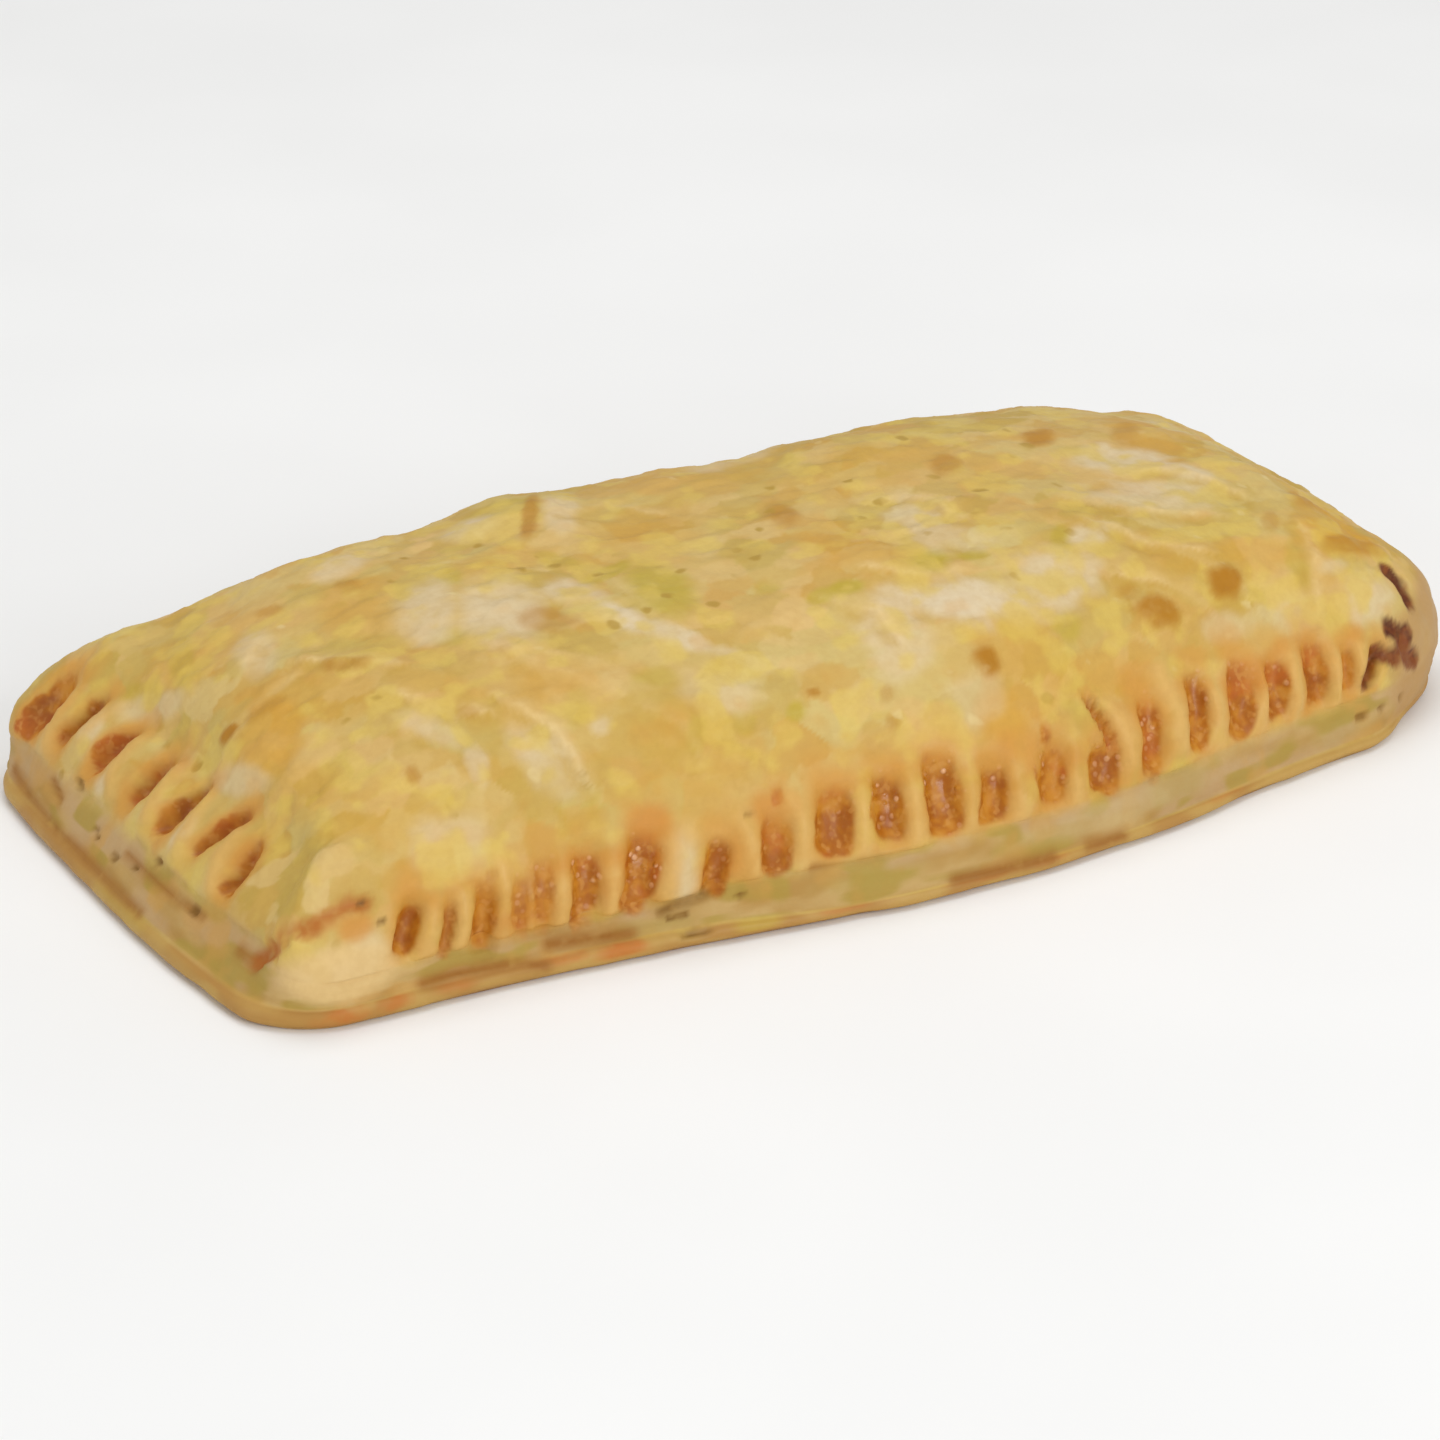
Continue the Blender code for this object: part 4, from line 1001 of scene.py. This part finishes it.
    # thin bottom sheet
    edge = m.mix(m.span(m.attribute("green"), 0.40, 0.62), srgb(188, 152, 84), srgb(176, 132, 68))
    edge = m.mix(m.times(m.attribute("olive"), 0.6), edge, srgb(192, 168, 66))
    edge = m.mix(m.times(m.attribute("orange"), m.span(near, 0.3, 0.6, 0.4, 0.9)), edge, srgb(190, 112, 44))
    tint = m.mix(m.attribute("sheet"), tint, edge)
    base = m.mix(m.span(patch, 0.38, 0.64), srgb(206, 164, 94), srgb(178, 120, 54))
    tint = m.mix(m.attribute("under"), tint, base)
    tint = m.mix(m.times(m.attribute("line"), m.span(near, 0.25, 0.5, 0.6, 1.0)), tint, srgb(152, 100, 36))
    tint = m.mix(m.times(m.attribute("flap"), 0.9), tint, srgb(220, 188, 132))

    # browned, egg-washed beds of the crimps
    bed = m.mix(m.span(near, 0.30, 0.66), srgb(198, 130, 28), srgb(166, 94, 16))
    bed = m.mix(m.span(small, 0.52, 0.66, 0.0, 0.6), bed, srgb(186, 96, 32))
    bed = m.mix(m.span(grain, 0.52, 0.70, 0.0, 0.5), bed, srgb(214, 152, 76))
    patchy = m.span(near, 0.25, 0.5, 0.7, 1.0)
    tint = m.mix(m.times(m.span(m.attribute("bed"), 0.08, 0.7), patchy), tint, bed)
    # pale pink specks where the beds are glossy: painted glints
    bead, _ = m.spots(1.1)
    glint_speck = m.times(m.span(bead, 0.14, 0.34, 1.0, 0.0), m.span(near, 0.42, 0.54))
    tint = m.mix(m.times(m.attribute("gloss"), glint_speck), tint, srgb(234, 180, 138))
    tint = m.mix(m.times(m.attribute("deep"), m.span(near, 0.35, 0.6, 0.25, 0.85)), tint, srgb(144, 72, 18))
    tint = m.mix(m.times(m.attribute("crease"), m.span(near, 0.25, 0.55, 0.35, 0.95)), tint, srgb(178, 104, 36))
    tint = m.mix(m.attribute("burn"), tint, m.mix(m.span(near, 0.4, 0.6), srgb(88, 36, 8), srgb(128, 66, 22)))
    tint = m.mix(m.times(m.attribute("pit"), m.span(near, 0.3, 0.55, 0.4, 0.95)), tint, srgb(130, 92, 32))
    tint = m.mix(m.span(grain, 0.3, 0.75, 0.0, 0.12), tint, srgb(176, 132, 62))
    tint = m.mix(1.0, tint, (0.97, 0.95, 0.86, 1.0), "MULTIPLY")
    m.link(tint, m.shader.inputs["Base Color"])

    # gloss: egg wash in the crimps, the rest dry
    beads = m.times(m.span(bead, 0.10, 0.34, 1.0, 0.0), m.attribute("gloss"))
    rough = m.math("SUBTRACT", m.span(small, 0.3, 0.7, 0.50, 0.62),
                   m.times(m.attribute("gloss"), m.span(near, 0.35, 0.6, 0.10, 0.34)))
    rough = m.math("ADD", rough, m.times(m.attribute("wall"), 0.15), True)
    m.link(rough, m.shader.inputs["Roughness"])
    m.shader.inputs["Specular IOR Level"].default_value = 0.36
    m.shader.inputs["IOR"].default_value = 1.45

    low = m.bump(m.noise(1.6, 2.0, 0.6), 0.16, 0.6)
    mid = m.bump(beads, 0.20, 0.6, low)
    m.link(mid, m.shader.inputs["Normal"])
    return m.mat


def floor_material():
    m = Nodes("pale_floor")
    shade = m.mix(m.span(m.noise(60.0, 2.0, 0.5), 0.3, 0.7), srgb(241, 241, 240), srgb(244, 244, 243))
    m.link(shade, m.shader.inputs["Base Color"])
    m.shader.inputs["Roughness"].default_value = 0.8
    m.shader.inputs["Specular IOR Level"].default_value = 0.2
    return m.mat


# ------------------------------------------------------------------ studio --
def area_light(name, place, aim, size, power, colour=(1, 1, 1)):
    lamp = bpy.data.lights.new(name, "AREA")
    lamp.shape = "SQUARE"
    lamp.size = size
    lamp.energy = power
    lamp.color = colour
    obj = bpy.data.objects.new(name, lamp)
    obj.location = place
    obj.rotation_euler = (Vector(aim) - Vector(place)).to_track_quat("-Z", "Y").to_euler()
    bpy.context.scene.collection.objects.link(obj)


def studio():
    scene = bpy.context.scene
    scene.view_settings.view_transform = "Standard"
    scene.view_settings.look = "None"
    world = bpy.data.worlds.new("soft_room")
    world.use_nodes = True
    back = world.node_tree.nodes["Background"]
    back.inputs[0].default_value = (1.0, 1.0, 1.0, 1.0)
    back.inputs[1].default_value = 0.5
    scene.world = world
    area_light("top_soft", (0.05, 0.15, 0.75), (0, 0, 0), 0.6, 2.35)
    area_light("front_soft", (0.10, -0.75, 0.38), (0, 0, 0.01), 0.4, 3.0)
    area_light("left_soft", (-0.85, -0.05, 0.22), (0, 0, 0.01), 0.5, 1.3)

    bpy.ops.mesh.primitive_plane_add(size=6.0, location=(0, 0, -0.0001))
    floor = bpy.context.object
    floor.name = "floor"
    floor.data.materials.append(floor_material())

    # camera at the photo's angle: 29.5 degrees round to the left, 26.5 up
    azimuth, elevation, reach = math.radians(-29.5), math.radians(26.5), 0.465
    back_way = (math.sin(azimuth) * math.cos(elevation),
                -math.cos(azimuth) * math.cos(elevation), math.sin(elevation))
    aim = (-0.0005, 0.0079, 0.0)
    cam = bpy.data.cameras.new("camera")
    cam.sensor_width = 36.0
    cam.lens = 112.5
    cam.clip_start = 0.01
    cam.clip_end = 20.0
    eye = bpy.data.objects.new("camera", cam)
    eye.location = tuple(aim[k] + reach * back_way[k] for k in range(3))
    eye.rotation_euler = (math.pi / 2 - elevation, 0.0, azimuth)
    scene.collection.objects.link(eye)
    scene.camera = eye


studio()
pie = make_pie()
pie.data.materials.append(pastry_material())
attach(pie, "root")
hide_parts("pie")
